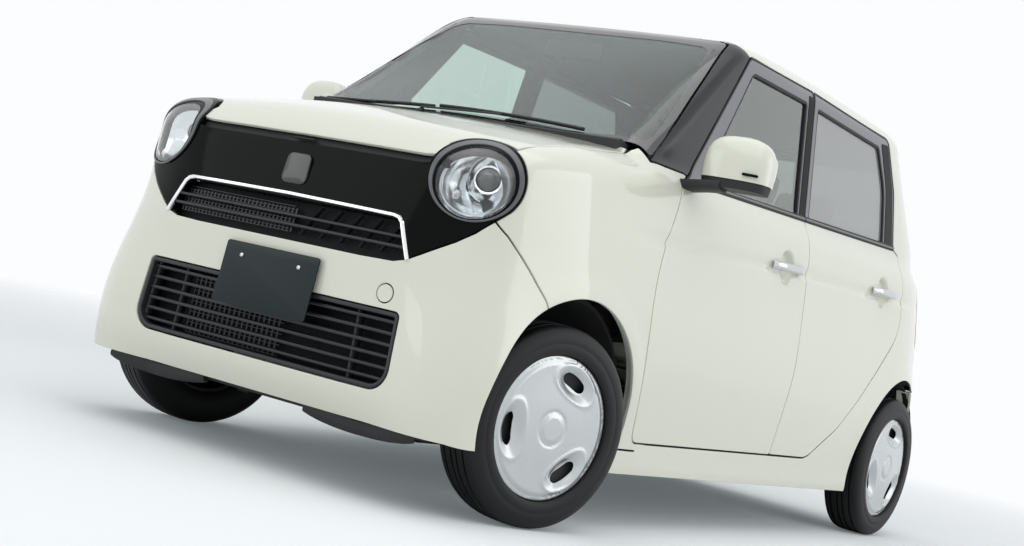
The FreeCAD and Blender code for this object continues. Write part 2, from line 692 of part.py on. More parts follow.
def make_tail_lamps():
    """Upright lamps on the rear corners."""
    lamp = WALL.common(prism("y", TAIL_LAMP, REAR_AXLE_Y + 60 + SEAM, FAR))
    lamp = biggest(lamp)
    return Part.makeCompound([lamp, flip(lamp)])


def make_wheel_liners():
    """Inner faces of the wheel arches; the rear ones close off the cabin."""
    liners = []
    rows = (  # axle y, inner end x, wall at the inner end, lower edge of that wall
        (FRONT_AXLE_Y, FRONT_WELL_X + SEAM, 0, 1),
        (REAR_AXLE_Y, REAR_WELL_X + SEAM, 12, LOAD_UNDER_Z),
    )
    for y, inner, end, low in rows:
        z = TYRE_RADIUS
        outer = rod((inner, y, z), (HALF - 60, y, z), ARCH_RADIUS - SEAT)
        hollow = rod((inner + end, y, z), (HALF, y, z), ARCH_RADIUS - LINER)
        liner = outer.cut(hollow).common(box((0, FAR), (-FAR, FAR), (FLOOR_UNDER_Z + 60, FAR)))
        liner = liner.cut(box((0, inner + 2 * LINER), (y - 300, y + 300), (0, low)))
        liner = liner.cut(box((FRONT_WELL_X, 575), (FRONT_AXLE_Y - 75, FRONT_AXLE_Y + 75), (500, FAR)))
        liner = biggest(liner.common(OUTER))
        liners += [liner, flip(liner)]
    return Part.makeCompound(liners)


def make_dashboard():
    """Instrument panel with the steering column's shroud."""
    section = [
        (FIREWALL_Y + SEAT, 560, 20),
        (FIREWALL_Y + 170, 560, 30),
        (FIREWALL_Y + 330, 880, 60),
        (FIREWALL_Y + 320, 985, 50),
        (FIREWALL_Y + 120, 1035, 60),
        (FIREWALL_Y + SEAT, 1040, 20),
    ]
    panel = prism("x", section, -585, 585)
    column = Part.makeCylinder(38, 330, WHEEL_AT - WHEEL_WAY * 352, WHEEL_WAY)
    bore = Part.makeCylinder(COLUMN_SHAFT + BEARING, 60, WHEEL_AT - WHEEL_WAY * 80, WHEEL_WAY)
    return join([panel, column]).cut(bore)


def make_seat(x, width, y, back_top, tilt):
    """One seat: cushion, backrest and headrest as one plain solid."""
    half = width / 2
    cushion = prism("x", [(y, 470, 40), (y + 500, 440, 40), (y + 500, 560, 30), (y, 600, 60)],
                    x - half, x + half)
    lean = math.tan(math.radians(tilt))
    foot = y + 440
    top = foot + (back_top - 500) * lean
    back = prism("x", [(foot, 470, 30), (foot + 130, 470, 40), (top + 100, back_top, 40), (top, back_top, 40)],
                 x - half, x + half)
    return join([cushion, back])


def make_headrest(x, width, y, back_top):
    """A headrest standing on its two posts over a backrest."""
    half = width / 2
    pad = block((x - half, x + half), (y - 45, y + 50), (back_top + 50, back_top + 220), 30)
    posts = [rod((x + s * 60, y, back_top - 20), (x + s * 60, y, back_top + 60), 6) for s in (-1, 1)]
    return join([pad] + posts)


def make_front_seats():
    """Two front seats on their plinths."""
    seats = []
    for x in (-FRONT_SEAT_X, FRONT_SEAT_X):
        seat = make_seat(x, 480, FRONT_SEAT_Y, SEAT_BACK_Z, 18)
        plinth = block((x - 190, x + 190), (FRONT_SEAT_Y + 70, FRONT_SEAT_Y + 430), (FLOOR_Z + SEAT, 480), 20)
        rest_y = FRONT_SEAT_Y + 490 + (SEAT_BACK_Z - 500) * math.tan(math.radians(18))
        rest = make_headrest(x, 260, rest_y, SEAT_BACK_Z)
        seats.append(join([seat, plinth, rest]))
    return Part.makeCompound(seats)


def make_rear_seat():
    """Bench seat over the fuel tank's hump."""
    seat = make_seat(0, 1120, REAR_SEAT_Y, SEAT_BACK_Z, 20)
    plinth = box((-440, 440), (STEP_Y + 20, REAR_SEAT_Y + 480), (LOAD_FLOOR_Z + SEAT, 480))
    rest_y = REAR_SEAT_Y + 490 + (SEAT_BACK_Z - 500) * math.tan(math.radians(20))
    rests = [make_headrest(x, 250, rest_y, SEAT_BACK_Z) for x in (-300, 300)]
    return join([seat, plinth] + rests).cut(Part.makeCompound(wells(GAP, GAP)))


def make_engine():
    """Engine and gearbox as one plain block, with a mount on each rail."""
    mass = block((-290, 285), (FRONT_AXLE_Y - 235, FRONT_AXLE_Y + 195), (240, 780), 30)
    mounts = box((SEAT - 325, 325 - SEAT), (FRONT_AXLE_Y - 40, FRONT_AXLE_Y + 40), (435, 480))
    return join([mass, mounts])


def make_fuel_tank():
    """Flat tank under the floor, below the front seats."""
    return block((-420, 420), (-420, 260), (FLOOR_UNDER_Z - 50, FLOOR_UNDER_Z - SEAT), 60)


def make_exhaust():
    """Exhaust pipe, silencer and hangers along the car's underside."""
    z = FLOOR_UNDER_Z - 34
    route = (  # x, y
        (-455, FRONT_AXLE_Y + 330),
        (-455, 330),
        (-370, 640),
        (-370, REAR_AXLE_Y + 240),
    )
    pieces = [rod((a[0], a[1], z), (b[0], b[1], z), PIPE_RADIUS) for a, b in zip(route, route[1:])]
    pieces += [Part.makeSphere(PIPE_RADIUS, Vector(x, y, z)) for x, y in route[1:-1]]
    y = REAR_AXLE_Y + 290
    can = [(y - 70, 125, 30), (y + 60, 125, 30), (y + 60, 188, 30), (y - 70, 188, 30)]
    pieces.append(prism("x", can, -440, 120))
    pieces.append(rod((-300, y + 40, 150), (-300, TAIL_Y - 45, 150), PIPE_RADIUS))
    pieces.append(rod((-455, -500, z), (-455, -500, FLOOR_UNDER_Z - SEAT), 7))
    pieces.append(rod((-200, y - 40, 160), (-200, y - 40, LOAD_UNDER_Z - SEAT), 7))
    return join(pieces)


def make_rear_axle():
    """Torsion beam with its trailing arms, bushes and stub axles."""
    z = TYRE_RADIUS
    y = REAR_AXLE_Y
    front = STEP_Y + STEP_WALL + SEAT
    pieces = [rod((-450, y - 130, 240), (450, y - 130, 240), 32)]
    for sign in (1, -1):
        x = sign * ARM_X
        pieces += [
            box(sorted((x - 22, x + 22)), (front, front + 50), (FLOOR_UNDER_Z + 2, FLOOR_UNDER_Z + 60)),
            rod((x, front + 20, FLOOR_UNDER_Z + 30), (x, y + 20, z), 20),
            rod((sign * 430, y, z), (sign * (WHEEL_X - 30), y, z), 34),
            rod((sign * 440, y, z), (sign * (WHEEL_X + HUB_OFFSET + 4), y, z), HUB_SHAFT),
        ]
    return join(pieces)


def make_lower_arms():
    """Front lower arms, from the subframe boxes to the ball joints."""
    arms = []
    top = KINGPIN_LOW[1] - STUD_RADIUS * math.sin(KINGPIN_LEAN) - SEAT
    for sign in (1, -1):
        ball = (sign * KINGPIN_LOW[0], FRONT_AXLE_Y)
        root = sign * (ARM_BOX_X + SEAT)
        plan = [
            (root, FRONT_AXLE_Y - 60, 5),
            (ball[0], ball[1] - 26, 26),
            (ball[0] + sign * 26, ball[1], 20),
            (ball[0], ball[1] + 26, 26),
            (root, FRONT_AXLE_Y + 200, 5),
        ]
        arms.append(prism("z", plan, top - 16, top))
    return Part.makeCompound(arms)


# ---------------------------------------------------------------- doors and lids
def cut_door(outline, window, front):
    """A left door as thick as the whole wall, with its window cut.

    The inner part stops short of the outer edge all round, so that it swings clear of the opening.
    """
    wall = WALL.cut(box((0, HALF - 31 - LOWER_WALL), (-FAR, FAR), (0, FLOOR_Z + 22)))
    wall = wall.common(box((ROOF_SEAM_X, FAR), (-FAR, FAR), (0, FAR)))
    outer = DOOR_OUTER.common(wall).common(prism("x", outline, 0, FAR))
    inner = wall.common(prism("x", inset(outline, DOOR_STEP), 0, FAR))
    door = outer.fuse(inner).removeSplitter().cut(prism("x", window, 0, FAR))
    for z in HINGE_Z:
        door = door.cut(hinge_pocket(z, front))
    if front:
        door = door.cut(edge_relief(False))
    return biggest(door)


def door_glass(window):
    """The pane of a left door, set back from the outer surface."""
    pane = envelope(GLASS_DEPTH).cut(envelope(GLASS_DEPTH + GLASS))
    return biggest(pane.common(prism("x", inset(window, SEAT), ROOF_SEAM_X, FAR)))


def make_mirror():
    """Left mirror head on its foot."""
    head = prism("y", [(722, 1052, 24), (905, 1046, 30), (925, 1120, 50), (880, 1196, 60), (760, 1204, 60),
                       (718, 1130, 40)], MIRROR_Y - 55, MIRROR_Y + 55)
    foot = prism("z", [(640, MIRROR_Y - 100, 1), (760, MIRROR_Y - 30, 20), (840, MIRROR_Y + 20, 20),
                       (760, MIRROR_Y + 40, 20), (640, MIRROR_Y + 10, 1)], 1036, 1054)
    whole = join([head, foot])
    return biggest(whole.cut(OUTER))


def make_tailgate():
    """Tailgate with its window cut."""
    gate = WALL.common(prism("y", TAILGATE, ROOF_REAR_EDGE_Y + GAP, FAR))
    return biggest(gate.cut(prism("y", TAILGATE_WINDOW, REAR_AXLE_Y, FAR)))


def make_tailgate_glass():
    """Rear window pane."""
    pane = envelope(4).cut(envelope(4 + GLASS))
    zone = prism("y", inset(TAILGATE_WINDOW, SEAT), REAR_AXLE_Y + 60, FAR)
    return biggest(pane.common(zone))


# ---------------------------------------------------------------- steering and wheels

def kingpin(sign):
    """A point on a kingpin axis and its upward direction."""
    low = Vector(sign * KINGPIN_LOW[0], FRONT_AXLE_Y, KINGPIN_LOW[1])
    top = Vector(sign * KINGPIN_TOP[0], FRONT_AXLE_Y, KINGPIN_TOP[1])
    return low, (top - low).normalize()


def steered(shape, sign):
    """Turn a front wheel's piece about its kingpin to the parked angle."""
    low, way = kingpin(sign)
    turned = shape.copy()
    turned.rotate(low, way, STEER_REST)
    turned.translate(Vector(0, 0, STEER_LIFT[sign]))
    return turned


def make_knuckle(sign):
    """Hub carrier with the strut that turns with it."""
    low, way = kingpin(sign)
    z = TYRE_RADIUS
    upright = box(sorted((sign * 562, sign * 606)), (FRONT_AXLE_Y - 42, FRONT_AXLE_Y + 42), (206, 400))
    stud = Part.makeCylinder(STUD_RADIUS, 40, low, way)
    clamp = box(sorted((sign * 515, sign * 568)), (FRONT_AXLE_Y - 36, FRONT_AXLE_Y + 36), (300, 400))
    strut = rod((sign * 540, FRONT_AXLE_Y, 310), (sign * (KINGPIN_TOP[0] + 6), FRONT_AXLE_Y, 740), 25)
    spring = rod((sign * 505, FRONT_AXLE_Y, 610), (sign * (KINGPIN_TOP[0] + 3), FRONT_AXLE_Y, 775), 55)
    reach = (KINGPIN_TOP[1] - KINGPIN_LOW[1]) / math.cos(KINGPIN_LEAN) - STRUT_ROD * math.tan(KINGPIN_LEAN)
    top_rod = Part.makeCylinder(STRUT_ROD, 60, low + way * (reach - 60 - STEER_LIFT[sign]), way)
    shaft = rod((sign * 580, FRONT_AXLE_Y, z), (sign * (WHEEL_X + HUB_OFFSET + 4), FRONT_AXLE_Y, z), HUB_SHAFT)
    return join([upright, stud, clamp, strut, spring, top_rod, shaft])


def make_tyre(sign, y):
    """A tyre on its bead seats."""
    half = TYRE_WIDTH / 2
    section = [
        (-half + 10, RIM_RADIUS, 4),
        (half - 10, RIM_RADIUS, 4),
        (half, RIM_RADIUS + 52, 40),
        (half - 14, TYRE_RADIUS, 22),
        (-half + 14, TYRE_RADIUS, 22),
        (-half, RIM_RADIUS + 52, 40),
    ]
    face = face_of(section, lambda p: Vector(sign * WHEEL_X + p.x, y, TYRE_RADIUS + p.y))
    return face.revolve(Vector(0, y, TYRE_RADIUS), Vector(1, 0, 0), 360)


def make_wheel(sign, y):
    """A pressed wheel with its cover: barrel, disc and hub, one turned section."""
    half = RIM_WIDTH / 2
    seat = RIM_RADIUS - SEAT
    section = [  # x outboard of the rim's middle, radius
        (-half, seat, 2),
        (-half, seat - 12, 2),
        (-half + 28, 164, 8),
        (HUB_OFFSET - 18, 158, 10),
        (HUB_OFFSET - 14, 90, 10),
        (HUB_OFFSET - 34, 60, 8),
        (HUB_OFFSET - 34, HUB_SHAFT + BEARING, 0),
        (HUB_OFFSET + 12, HUB_SHAFT + BEARING, 0),
        (HUB_OFFSET + 12, 70, 10),
        (HUB_OFFSET + 8, 150, 10),
        (half, seat - 4, 4),
        (half, seat, 1),
    ]
    face = face_of(section, lambda p: Vector(sign * (WHEEL_X + p.x), y, TYRE_RADIUS + p.y))
    return face.revolve(Vector(0, y, TYRE_RADIUS), Vector(1, 0, 0), 360)


def make_steering_wheel():
    """Rim, hub and three spokes."""
    rim = Part.makeTorus(STEERING_RADIUS, 14, WHEEL_AT, WHEEL_WAY)
    hub = Part.makeCylinder(62, 36, WHEEL_AT - WHEEL_WAY * 16, WHEEL_WAY)
    side = Vector(1, 0, 0)
    down = WHEEL_WAY.cross(side)
    if down.z > 0:
        down = down * -1
    shaft = Part.makeCylinder(COLUMN_SHAFT, 62, WHEEL_AT - WHEEL_WAY * 76, WHEEL_WAY)
    pieces = [rim, hub, shaft]
    for way in (side, side * -1, down):
        pieces.append(Part.makeCylinder(11, STEERING_RADIUS, WHEEL_AT, way))
    return join(pieces)


# ---------------------------------------------------------------- build
STEER_LIFT = {1: 0.0, -1: 0.0}


def settle_front_wheels():
    """Raise each turned front wheel so that its tyre just meets the ground."""
    for sign in (1, -1):
        tyre = steered(make_tyre(sign, FRONT_AXLE_Y), sign)
        STEER_LIFT[sign] = -tyre.optimalBoundingBox(False).ZMin


def both(name, shape):
    """A left piece and its mirror image, as two nodes."""
    return {name + "_left": shape, name + "_right": flip(shape)}


def build():
    """Every node's name and shape."""
    settle_front_wheels()
    fender = make_fender()
    nodes = {
        "underbody": make_underbody(),
        "roof": make_roof(),
        "front_fenders": Part.makeCompound([fender, flip(fender)]),
        "bonnet": make_bonnet(),
        "front_bumper": make_front_bumper(),
        "nose_mask": make_nose_mask(),
        "grilles": make_grilles(),
        "headlamps": make_headlamps(),
        "windscreen": make_windscreen(),
        "cowl": make_cowl(),
        "rear_bumper": make_rear_bumper(),
        "tail_lamps": make_tail_lamps(),
        "wheel_liners": make_wheel_liners(),
        "dashboard": make_dashboard(),
        "front_seats": make_front_seats(),
        "rear_seat": make_rear_seat(),
        "engine": make_engine(),
        "fuel_tank": make_fuel_tank(),
        "exhaust": make_exhaust(),
        "rear_axle": make_rear_axle(),
        "lower_arms": make_lower_arms(),
        "tailgate": make_tailgate(),
        "tailgate_glass": make_tailgate_glass(),
        "steering_wheel": make_steering_wheel(),
    }
    nodes.update(both("body_side", make_body_side()))
    nodes.update(both("front_door", cut_door(FRONT_DOOR, FRONT_WINDOW, True)))
    nodes.update(both("rear_door", cut_door(REAR_DOOR, REAR_WINDOW, False)))
    nodes.update(both("front_door_glass", door_glass(FRONT_WINDOW)))
    nodes.update(both("rear_door_glass", door_glass(REAR_WINDOW)))
    nodes.update(both("door_mirror", make_mirror()))
    for side, sign in (("left", 1), ("right", -1)):
        nodes["knuckle_" + side] = steered(make_knuckle(sign), sign)
        nodes["front_tyre_" + side] = steered(make_tyre(sign, FRONT_AXLE_Y), sign)
        nodes["front_wheel_" + side] = steered(make_wheel(sign, FRONT_AXLE_Y), sign)
        nodes["rear_tyre_" + side] = make_tyre(sign, REAR_AXLE_Y)
        nodes["rear_wheel_" + side] = make_wheel(sign, REAR_AXLE_Y)
    return nodes


os.makedirs("parts", exist_ok=True)
for node, shape in build().items():
    solids = shape.Solids
    whole = solids[0] if len(solids) == 1 else Part.makeCompound(solids)
    whole.exportStep("parts/" + node + ".step")
    extent = whole.BoundBox
    print(node, len(solids), round(whole.Volume / 1e6, 2), "litres", whole.isValid(),
          [round(v) for v in (extent.XMin, extent.XMax, extent.YMin, extent.YMax, extent.ZMin, extent.ZMax)])
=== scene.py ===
"""Finished looks of a five-door kei car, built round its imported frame.

Lengths in the tables are millimetres, as on a drawing; everything made in the scene is in metres.
+X is the car's left, +Y is rearward, +Z is up, and the origin lies on the ground under its middle.
"""

import logging
import math
from collections import Counter
from dataclasses import dataclass, field
from enum import Enum
from functools import partial
from typing import Callable, Optional, Sequence, Union

import bmesh
import bpy
import numpy as np
from mathutils import Matrix, Vector
from mathutils.geometry import delaunay_2d_cdt
from mathutils.kdtree import KDTree


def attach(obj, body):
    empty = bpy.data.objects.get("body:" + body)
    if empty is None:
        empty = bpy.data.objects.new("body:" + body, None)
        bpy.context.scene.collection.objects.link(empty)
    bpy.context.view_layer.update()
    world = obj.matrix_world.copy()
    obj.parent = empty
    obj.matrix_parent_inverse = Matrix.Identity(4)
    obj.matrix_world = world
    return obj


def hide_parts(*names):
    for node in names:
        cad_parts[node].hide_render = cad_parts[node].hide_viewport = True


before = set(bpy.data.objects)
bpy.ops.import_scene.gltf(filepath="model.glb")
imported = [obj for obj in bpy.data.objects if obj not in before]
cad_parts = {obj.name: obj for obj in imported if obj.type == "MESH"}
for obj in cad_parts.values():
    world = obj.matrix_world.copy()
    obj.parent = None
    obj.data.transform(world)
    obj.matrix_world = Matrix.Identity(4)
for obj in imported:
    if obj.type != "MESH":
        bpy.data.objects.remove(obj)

log = logging.getLogger("kei_car")
MM = 0.001
Row = tuple[float, float, float]
BMesh = bmesh.types.BMesh

# ---------------------------------------------------------------- driving dimensions, millimetres
LENGTH = 3395.0
WIDTH = 1475.0
HEIGHT = 1610.0
NOSE_Y = -LENGTH / 2
TAIL_Y = LENGTH / 2
HALF = WIDTH / 2
FRONT_AXLE_Y = NOSE_Y + 473.5
REAR_AXLE_Y = FRONT_AXLE_Y + 2520.0
TYRE_RADIUS = 278.5
ARCH_RADIUS = 362.0
UNDER_Z = 112.0
BUMPER_Z = 196.0
FENDER_Z = 240.0
HOOD_FRONT_Z = 912.0
COWL_Y = -1010.0
COWL_Z = 1108.0
HEADER_Y = -392.0
HEADER_Z = 1570.0
ROOF_REAR_Y = 1540.0
ROOF_REAR_Z = 1566.0
DOOR_FRONT_Y = -882.0
DOOR_SPLIT_Y = 182.0
DOOR_REAR_Y = 1133.0
DOOR_BOTTOM_Z = 262.0
DOOR_TOP_Z = 1536.0
PANEL_GAP = 4.6
HANDLE_YS = (10.0, 916.0)
HANDLE_RISE = 0.04

UPWARD = np.array((0.0, 0.0, 1.0))
SIDEWAYS = np.array((1.0, 0.0, 0.0))
REARWARD = np.array((0.0, 1.0, 0.0))


def belt_z(y: float) -> float:
    """Height of the window sill at y, in millimetres."""
    return 1050.0 + 0.041 * (y + 659.0)


def handle_z(y: float) -> float:
    """Height of the middle of a door handle at y, in millimetres."""
    return 905.0 + HANDLE_RISE * (y - HANDLE_YS[0])


# ---------------------------------------------------------------- outlines
@dataclass(frozen=True)
class Outline:
    """A closed outline given by its corners, each rounded by its own radius.

    Attributes:
        corners: rows of a, b and corner radius, in millimetres.
    """

    corners: tuple[Row, ...]

    @classmethod
    def mirrored(cls, half: Sequence[Row]) -> "Outline":
        """Whole outline from its +a half, listed from bottom to top."""
        return cls(tuple(half) + tuple((-a, b, r) for a, b, r in reversed(half)))

    def _turn(self) -> float:
        """+1 when the corners run anticlockwise, else -1."""
        rows = self.corners
        area = sum(p[0] * q[1] - q[0] * p[1] for p, q in zip(rows, rows[1:] + rows[:1]))
        return 1.0 if area > 0 else -1.0

    def inset(self, depth: float) -> "Outline":
        """Move every side inwards.

        Args:
            depth: distance in millimetres; a negative one moves the sides out.

        Returns:
            The moved outline.
        """
        turn = self._turn()
        rows = self.corners
        moved = []
        for i, (a, b, radius) in enumerate(rows):
            before, after = rows[i - 1], rows[(i + 1) % len(rows)]
            d1 = np.array((a - before[0], b - before[1]))
            d2 = np.array((after[0] - a, after[1] - b))
            n1 = np.array((-d1[1], d1[0])) / np.linalg.norm(d1) * turn
            n2 = np.array((-d2[1], d2[0])) / np.linalg.norm(d2) * turn
            shift = (n1 + n2) * depth / (1.0 + float(n1 @ n2))
            convex = (d1[0] * d2[1] - d1[1] * d2[0]) * turn > 0
            grown = radius - depth if convex else radius + depth
            moved.append((a + shift[0], b + shift[1], max(grown, 0.0)))
        return Outline(tuple(moved))

    def points(self, step: float = 12.0) -> np.ndarray:
        """Walk along the rounded outline.

        Args:
            step: longest stretch between two points, in millimetres.

        Returns:
            Points in metres, one row each, without the closing one.
        """
        rows = self.corners
        walk: list[np.ndarray] = []
        for i, (a, b, radius) in enumerate(rows):
            c = np.array((a, b))
            u = np.array(rows[i - 1][:2]) - c
            v = np.array(rows[(i + 1) % len(rows)][:2]) - c
            lu, lv = np.linalg.norm(u), np.linalg.norm(v)
            u, v = u / lu, v / lv
            bend = math.acos(float(np.clip(u @ v, -1, 1)))
            if radius < 0.05 or bend > math.pi - 1e-4:
                walk.append(c)
                continue
            reach = min(radius / math.tan(bend / 2), 0.499 * lu, 0.499 * lv)
            r = reach * math.tan(bend / 2)
            centre = c + (u + v) / np.linalg.norm(u + v) * (r / math.sin(bend / 2))
            start, end = c + u * reach - centre, c + v * reach - centre
            swing = math.pi - bend
            side = math.copysign(1.0, start[0] * end[1] - start[1] * end[0])
            count = max(3, int(math.ceil(r * swing / step)), int(math.ceil(swing / 0.1)))
            for k in range(count + 1):
                t = side * swing * k / count
                turn = np.array(((math.cos(t), -math.sin(t)), (math.sin(t), math.cos(t))))
                walk.append(centre + turn @ start)
        filled: list[np.ndarray] = []
        for p, q in zip(walk, walk[1:] + walk[:1]):
            pieces = max(1, int(math.ceil(np.linalg.norm(q - p) / step)))
            filled += [p + (q - p) * k / pieces for k in range(pieces)]
        kept = [filled[0]]
        for p in filled[1:]:
            if np.linalg.norm(p - kept[-1]) > 0.25:
                kept.append(p)
        return np.array(kept) * MM


SIDE = Outline((
    (NOSE_Y + 108, UNDER_Z, 20),
    (TAIL_Y - 89, UNDER_Z, 20),
    (TAIL_Y, 262, 60),
    (TAIL_Y, 760, 400),
    (TAIL_Y - 62, 1120, 500),
    (ROOF_REAR_Y, ROOF_REAR_Z, 60),
    (300, HEIGHT + 8, 8000),
    (HEADER_Y, HEADER_Z, 120),
    (COWL_Y, COWL_Z, 30),
    (NOSE_Y + 400, 1066, 1500),
    (NOSE_Y + 140, 1000, 200),
    (NOSE_Y + 48, HOOD_FRONT_Z, 60),
    (NOSE_Y, 640, 200),
    (NOSE_Y, 262, 60),
))
CROSS = Outline.mirrored((
    (HALF - 36, 90, 12),
    (HALF - 31, 240, 60),
    (HALF + 4, 570, 900),
    (HALF - 36, 960, 120),
    (HALF - 48, 1020, 60),
    (HALF - 88, 1088, 30),
    (HALF - 148, 1530, 50),
    (HALF - 205, 1592, 60),
    (150, HEIGHT + 3, 900),
))
PLAN = Outline.mirrored((
    (353, NOSE_Y - 40, 600),
    (655, NOSE_Y + 105, 200),
    (HALF + 68, NOSE_Y + 450, 400),
    (HALF + 68, TAIL_Y - 320, 10),
    (HALF - 60, TAIL_Y - 56, 240),
    (350, TAIL_Y + 50, 300),
))
FRONT_DOOR = Outline((
    (DOOR_FRONT_Y + 88, DOOR_BOTTOM_Z, 40),
    (DOOR_SPLIT_Y, DOOR_BOTTOM_Z + 12, 12),
    (DOOR_SPLIT_Y, DOOR_TOP_Z + 6, 12),
    (-350, DOOR_TOP_Z - 8, 60),
    (-700, 1082, 40),
    (-774, 1040, 8),
    (DOOR_FRONT_Y - 26, 700, 900),
))
REAR_DOOR = Outline((
    (DOOR_SPLIT_Y, DOOR_BOTTOM_Z + 13, 12),
    (500, DOOR_BOTTOM_Z + 16, 140),
    (700, 400, 200),
    (900, 600, 200),
    (DOOR_REAR_Y, 800, 160),
    (DOOR_REAR_Y, 1108, 14),
    (1074, 1126, 8),
    (1034, 1340, 150),
    (925, DOOR_TOP_Z - 4, 40),
    (DOOR_SPLIT_Y, DOOR_TOP_Z + 6, 12),
))
FRONT_WINDOW = Outline((
    (-610, belt_z(-610) + 14, 14),
    (126, belt_z(126) + 14, 10),
    (126, 1486, 14),
    (-318, 1478, 40),
))
REAR_WINDOW = Outline((
    (222, belt_z(222) + 14, 10),
    (958, belt_z(958) + 14, 14),
    (930, 1332, 200),
    (832, 1480, 30),
    (222, 1486, 10),
))
FRONT_STRIP = Outline((
    (136, belt_z(136) + 12, 3),
    (DOOR_SPLIT_Y - 5, belt_z(DOOR_SPLIT_Y) + 12, 3),
    (DOOR_SPLIT_Y - 5, 1516, 3),
    (136, 1516, 3),
))
REAR_STRIP = Outline((
    (970, belt_z(970) + 14, 6),
    (1054, belt_z(1054) + 14, 6),
    (1012, 1340, 150),
    (922, 1506, 20),
    (850, 1500, 10),
    (942, 1334, 200),
))
DOORS = Outline(FRONT_DOOR.corners[:1] + REAR_DOOR.corners[1:-1] + FRONT_DOOR.corners[3:])
SCREEN = Outline.mirrored((
    (340, -1006, 1200),
    (570, -976, 400),
    (648, -938, 20),
    (632, -850, 500),
    (602, -712, 900),
    (576, -590, 900),
    (534, -414, 25),
    (330, -396, 1500),
))
SCREEN_CLEAR = Outline.mirrored((
    (340, -988, 1200),
    (618, -930, 40),
    (576, -726, 900),
    (494, -464, 60),
    (330, -448, 1500),
))
TAILGATE = Outline.mirrored((
    (560, 470, 40),
    (600, 640, 60),
    (590, 1090, 300),
    (503, 1556, 20),
    (493, 1656, 1),
))
TAILGATE_WINDOW = Outline.mirrored(((500, 1110, 50), (440, 1480, 60)))
BONNET_SIDE = ((604, -1462), (612, -1390), (620, -1300), (622, -1200), (610, -1020))
UPPER_GRILLE = Outline.mirrored(((448, 600, 6), (392, 728, 24)))
LOWER_GRILLE = Outline.mirrored(((470, 288, 60), (458, 493, 16)))


QUARTERS = ((-1, -1), (1, -1), (1, 1), (-1, 1))


def circle(a: float, b: float, radius: float) -> Outline:
    """A round outline."""
    return Outline(tuple((a + m * radius, b + n * radius, radius) for m, n in QUARTERS))


def box(a: float, b: float, radius: float) -> Outline:
    """A rounded rectangle that reaches a and b either way."""
    return Outline(tuple((m * a, n * b, radius) for m, n in QUARTERS))


# ---------------------------------------------------------------- the body's surface
def unit(v: np.ndarray) -> np.ndarray:
    """Rows scaled to length one."""
    return v / np.maximum(np.linalg.norm(v, axis=1, keepdims=True), 1e-9)


def inside(loop: np.ndarray, p: np.ndarray) -> np.ndarray:
    """Which of the points lie inside a closed loop on a map."""
    found = np.zeros(len(p), bool)
    for s, e in zip(loop, np.roll(loop, -1, 0)):
        crosses = (s[1] > p[:, 1]) != (e[1] > p[:, 1])
        rise = e[1] - s[1] if abs(e[1] - s[1]) > 1e-12 else 1e-12
        found ^= crosses & (p[:, 0] < (e[0] - s[0]) * (p[:, 1] - s[1]) / rise + s[0])
    return found


def smooth_step(value: np.ndarray, low: float, high: float) -> np.ndarray:
    """0 below low, 1 above high and an even S between them."""
    t = np.clip((value - low) / (high - low), 0.0, 1.0)
    return t * t * (3.0 - 2.0 * t)


class DistanceMap:
    """Distance to an outline, negative inside, as a smooth function of two coordinates."""

    PITCH = 0.0125
    MARGIN = 0.16
    BLUR = 1.1

    def __init__(self, outline: Outline) -> None:
        """Sample the distance on a grid and soften it a little.

        Args:
            outline: the outline to measure from.
        """
        loop = outline.points(34.0)
        self.low = loop.min(0) - self.MARGIN
        count = np.ceil((loop.max(0) + self.MARGIN - self.low) / self.PITCH).astype(int) + 1
        axes = [self.low[k] + np.arange(count[k]) * self.PITCH for k in (0, 1)]
        grid = np.stack(np.meshgrid(*axes, indexing="ij"), -1).reshape(-1, 2)
        nearest = np.full(len(grid), np.inf)
        for p, q in zip(loop, np.roll(loop, -1, 0)):
            edge = q - p
            along = np.clip(((grid - p) @ edge) / (edge @ edge), 0, 1)
            nearest = np.minimum(nearest, ((grid - p - along[:, None] * edge) ** 2).sum(1))
        values = np.sqrt(nearest) * np.where(inside(loop, grid), -1.0, 1.0)
        self.values = self._blurred(values.reshape(count))

    def _blurred(self, values: np.ndarray) -> np.ndarray:
        """The grid after a small even blur both ways."""
        reach = np.arange(-4, 5)
        weights = np.exp(-0.5 * (reach / self.BLUR) ** 2)
        weights /= weights.sum()
        for axis in (0, 1):
            padded = np.pad(values, [(4, 4) if k == axis else (0, 0) for k in (0, 1)], mode="reflect",
                            reflect_type="odd")
            size = values.shape[axis]
            values = sum(w * np.take(padded, range(k, k + size), axis) for k, w in enumerate(weights))
        return values

    def __call__(self, a: np.ndarray, b: np.ndarray) -> np.ndarray:
        """Distance at each pair of coordinates, in metres."""
        index, weights = [], []
        for value, low, size in zip((a, b), self.low, self.values.shape):
            place = np.clip((value - low) / self.PITCH, 1.001, size - 2.001)
            cell = place.astype(int)
            t = place - cell
            index.append(cell)
            weights.append(((1 - t) ** 3 / 6, (3 * t ** 3 - 6 * t ** 2 + 4) / 6,
                            (-3 * t ** 3 + 3 * t ** 2 + 3 * t + 1) / 6, t ** 3 / 6))
        total = np.zeros(len(a))
        for i in range(4):
            for j in range(4):
                total += weights[0][i] * weights[1][j] * self.values[index[0] + i - 1, index[1] + j - 1]
        return total


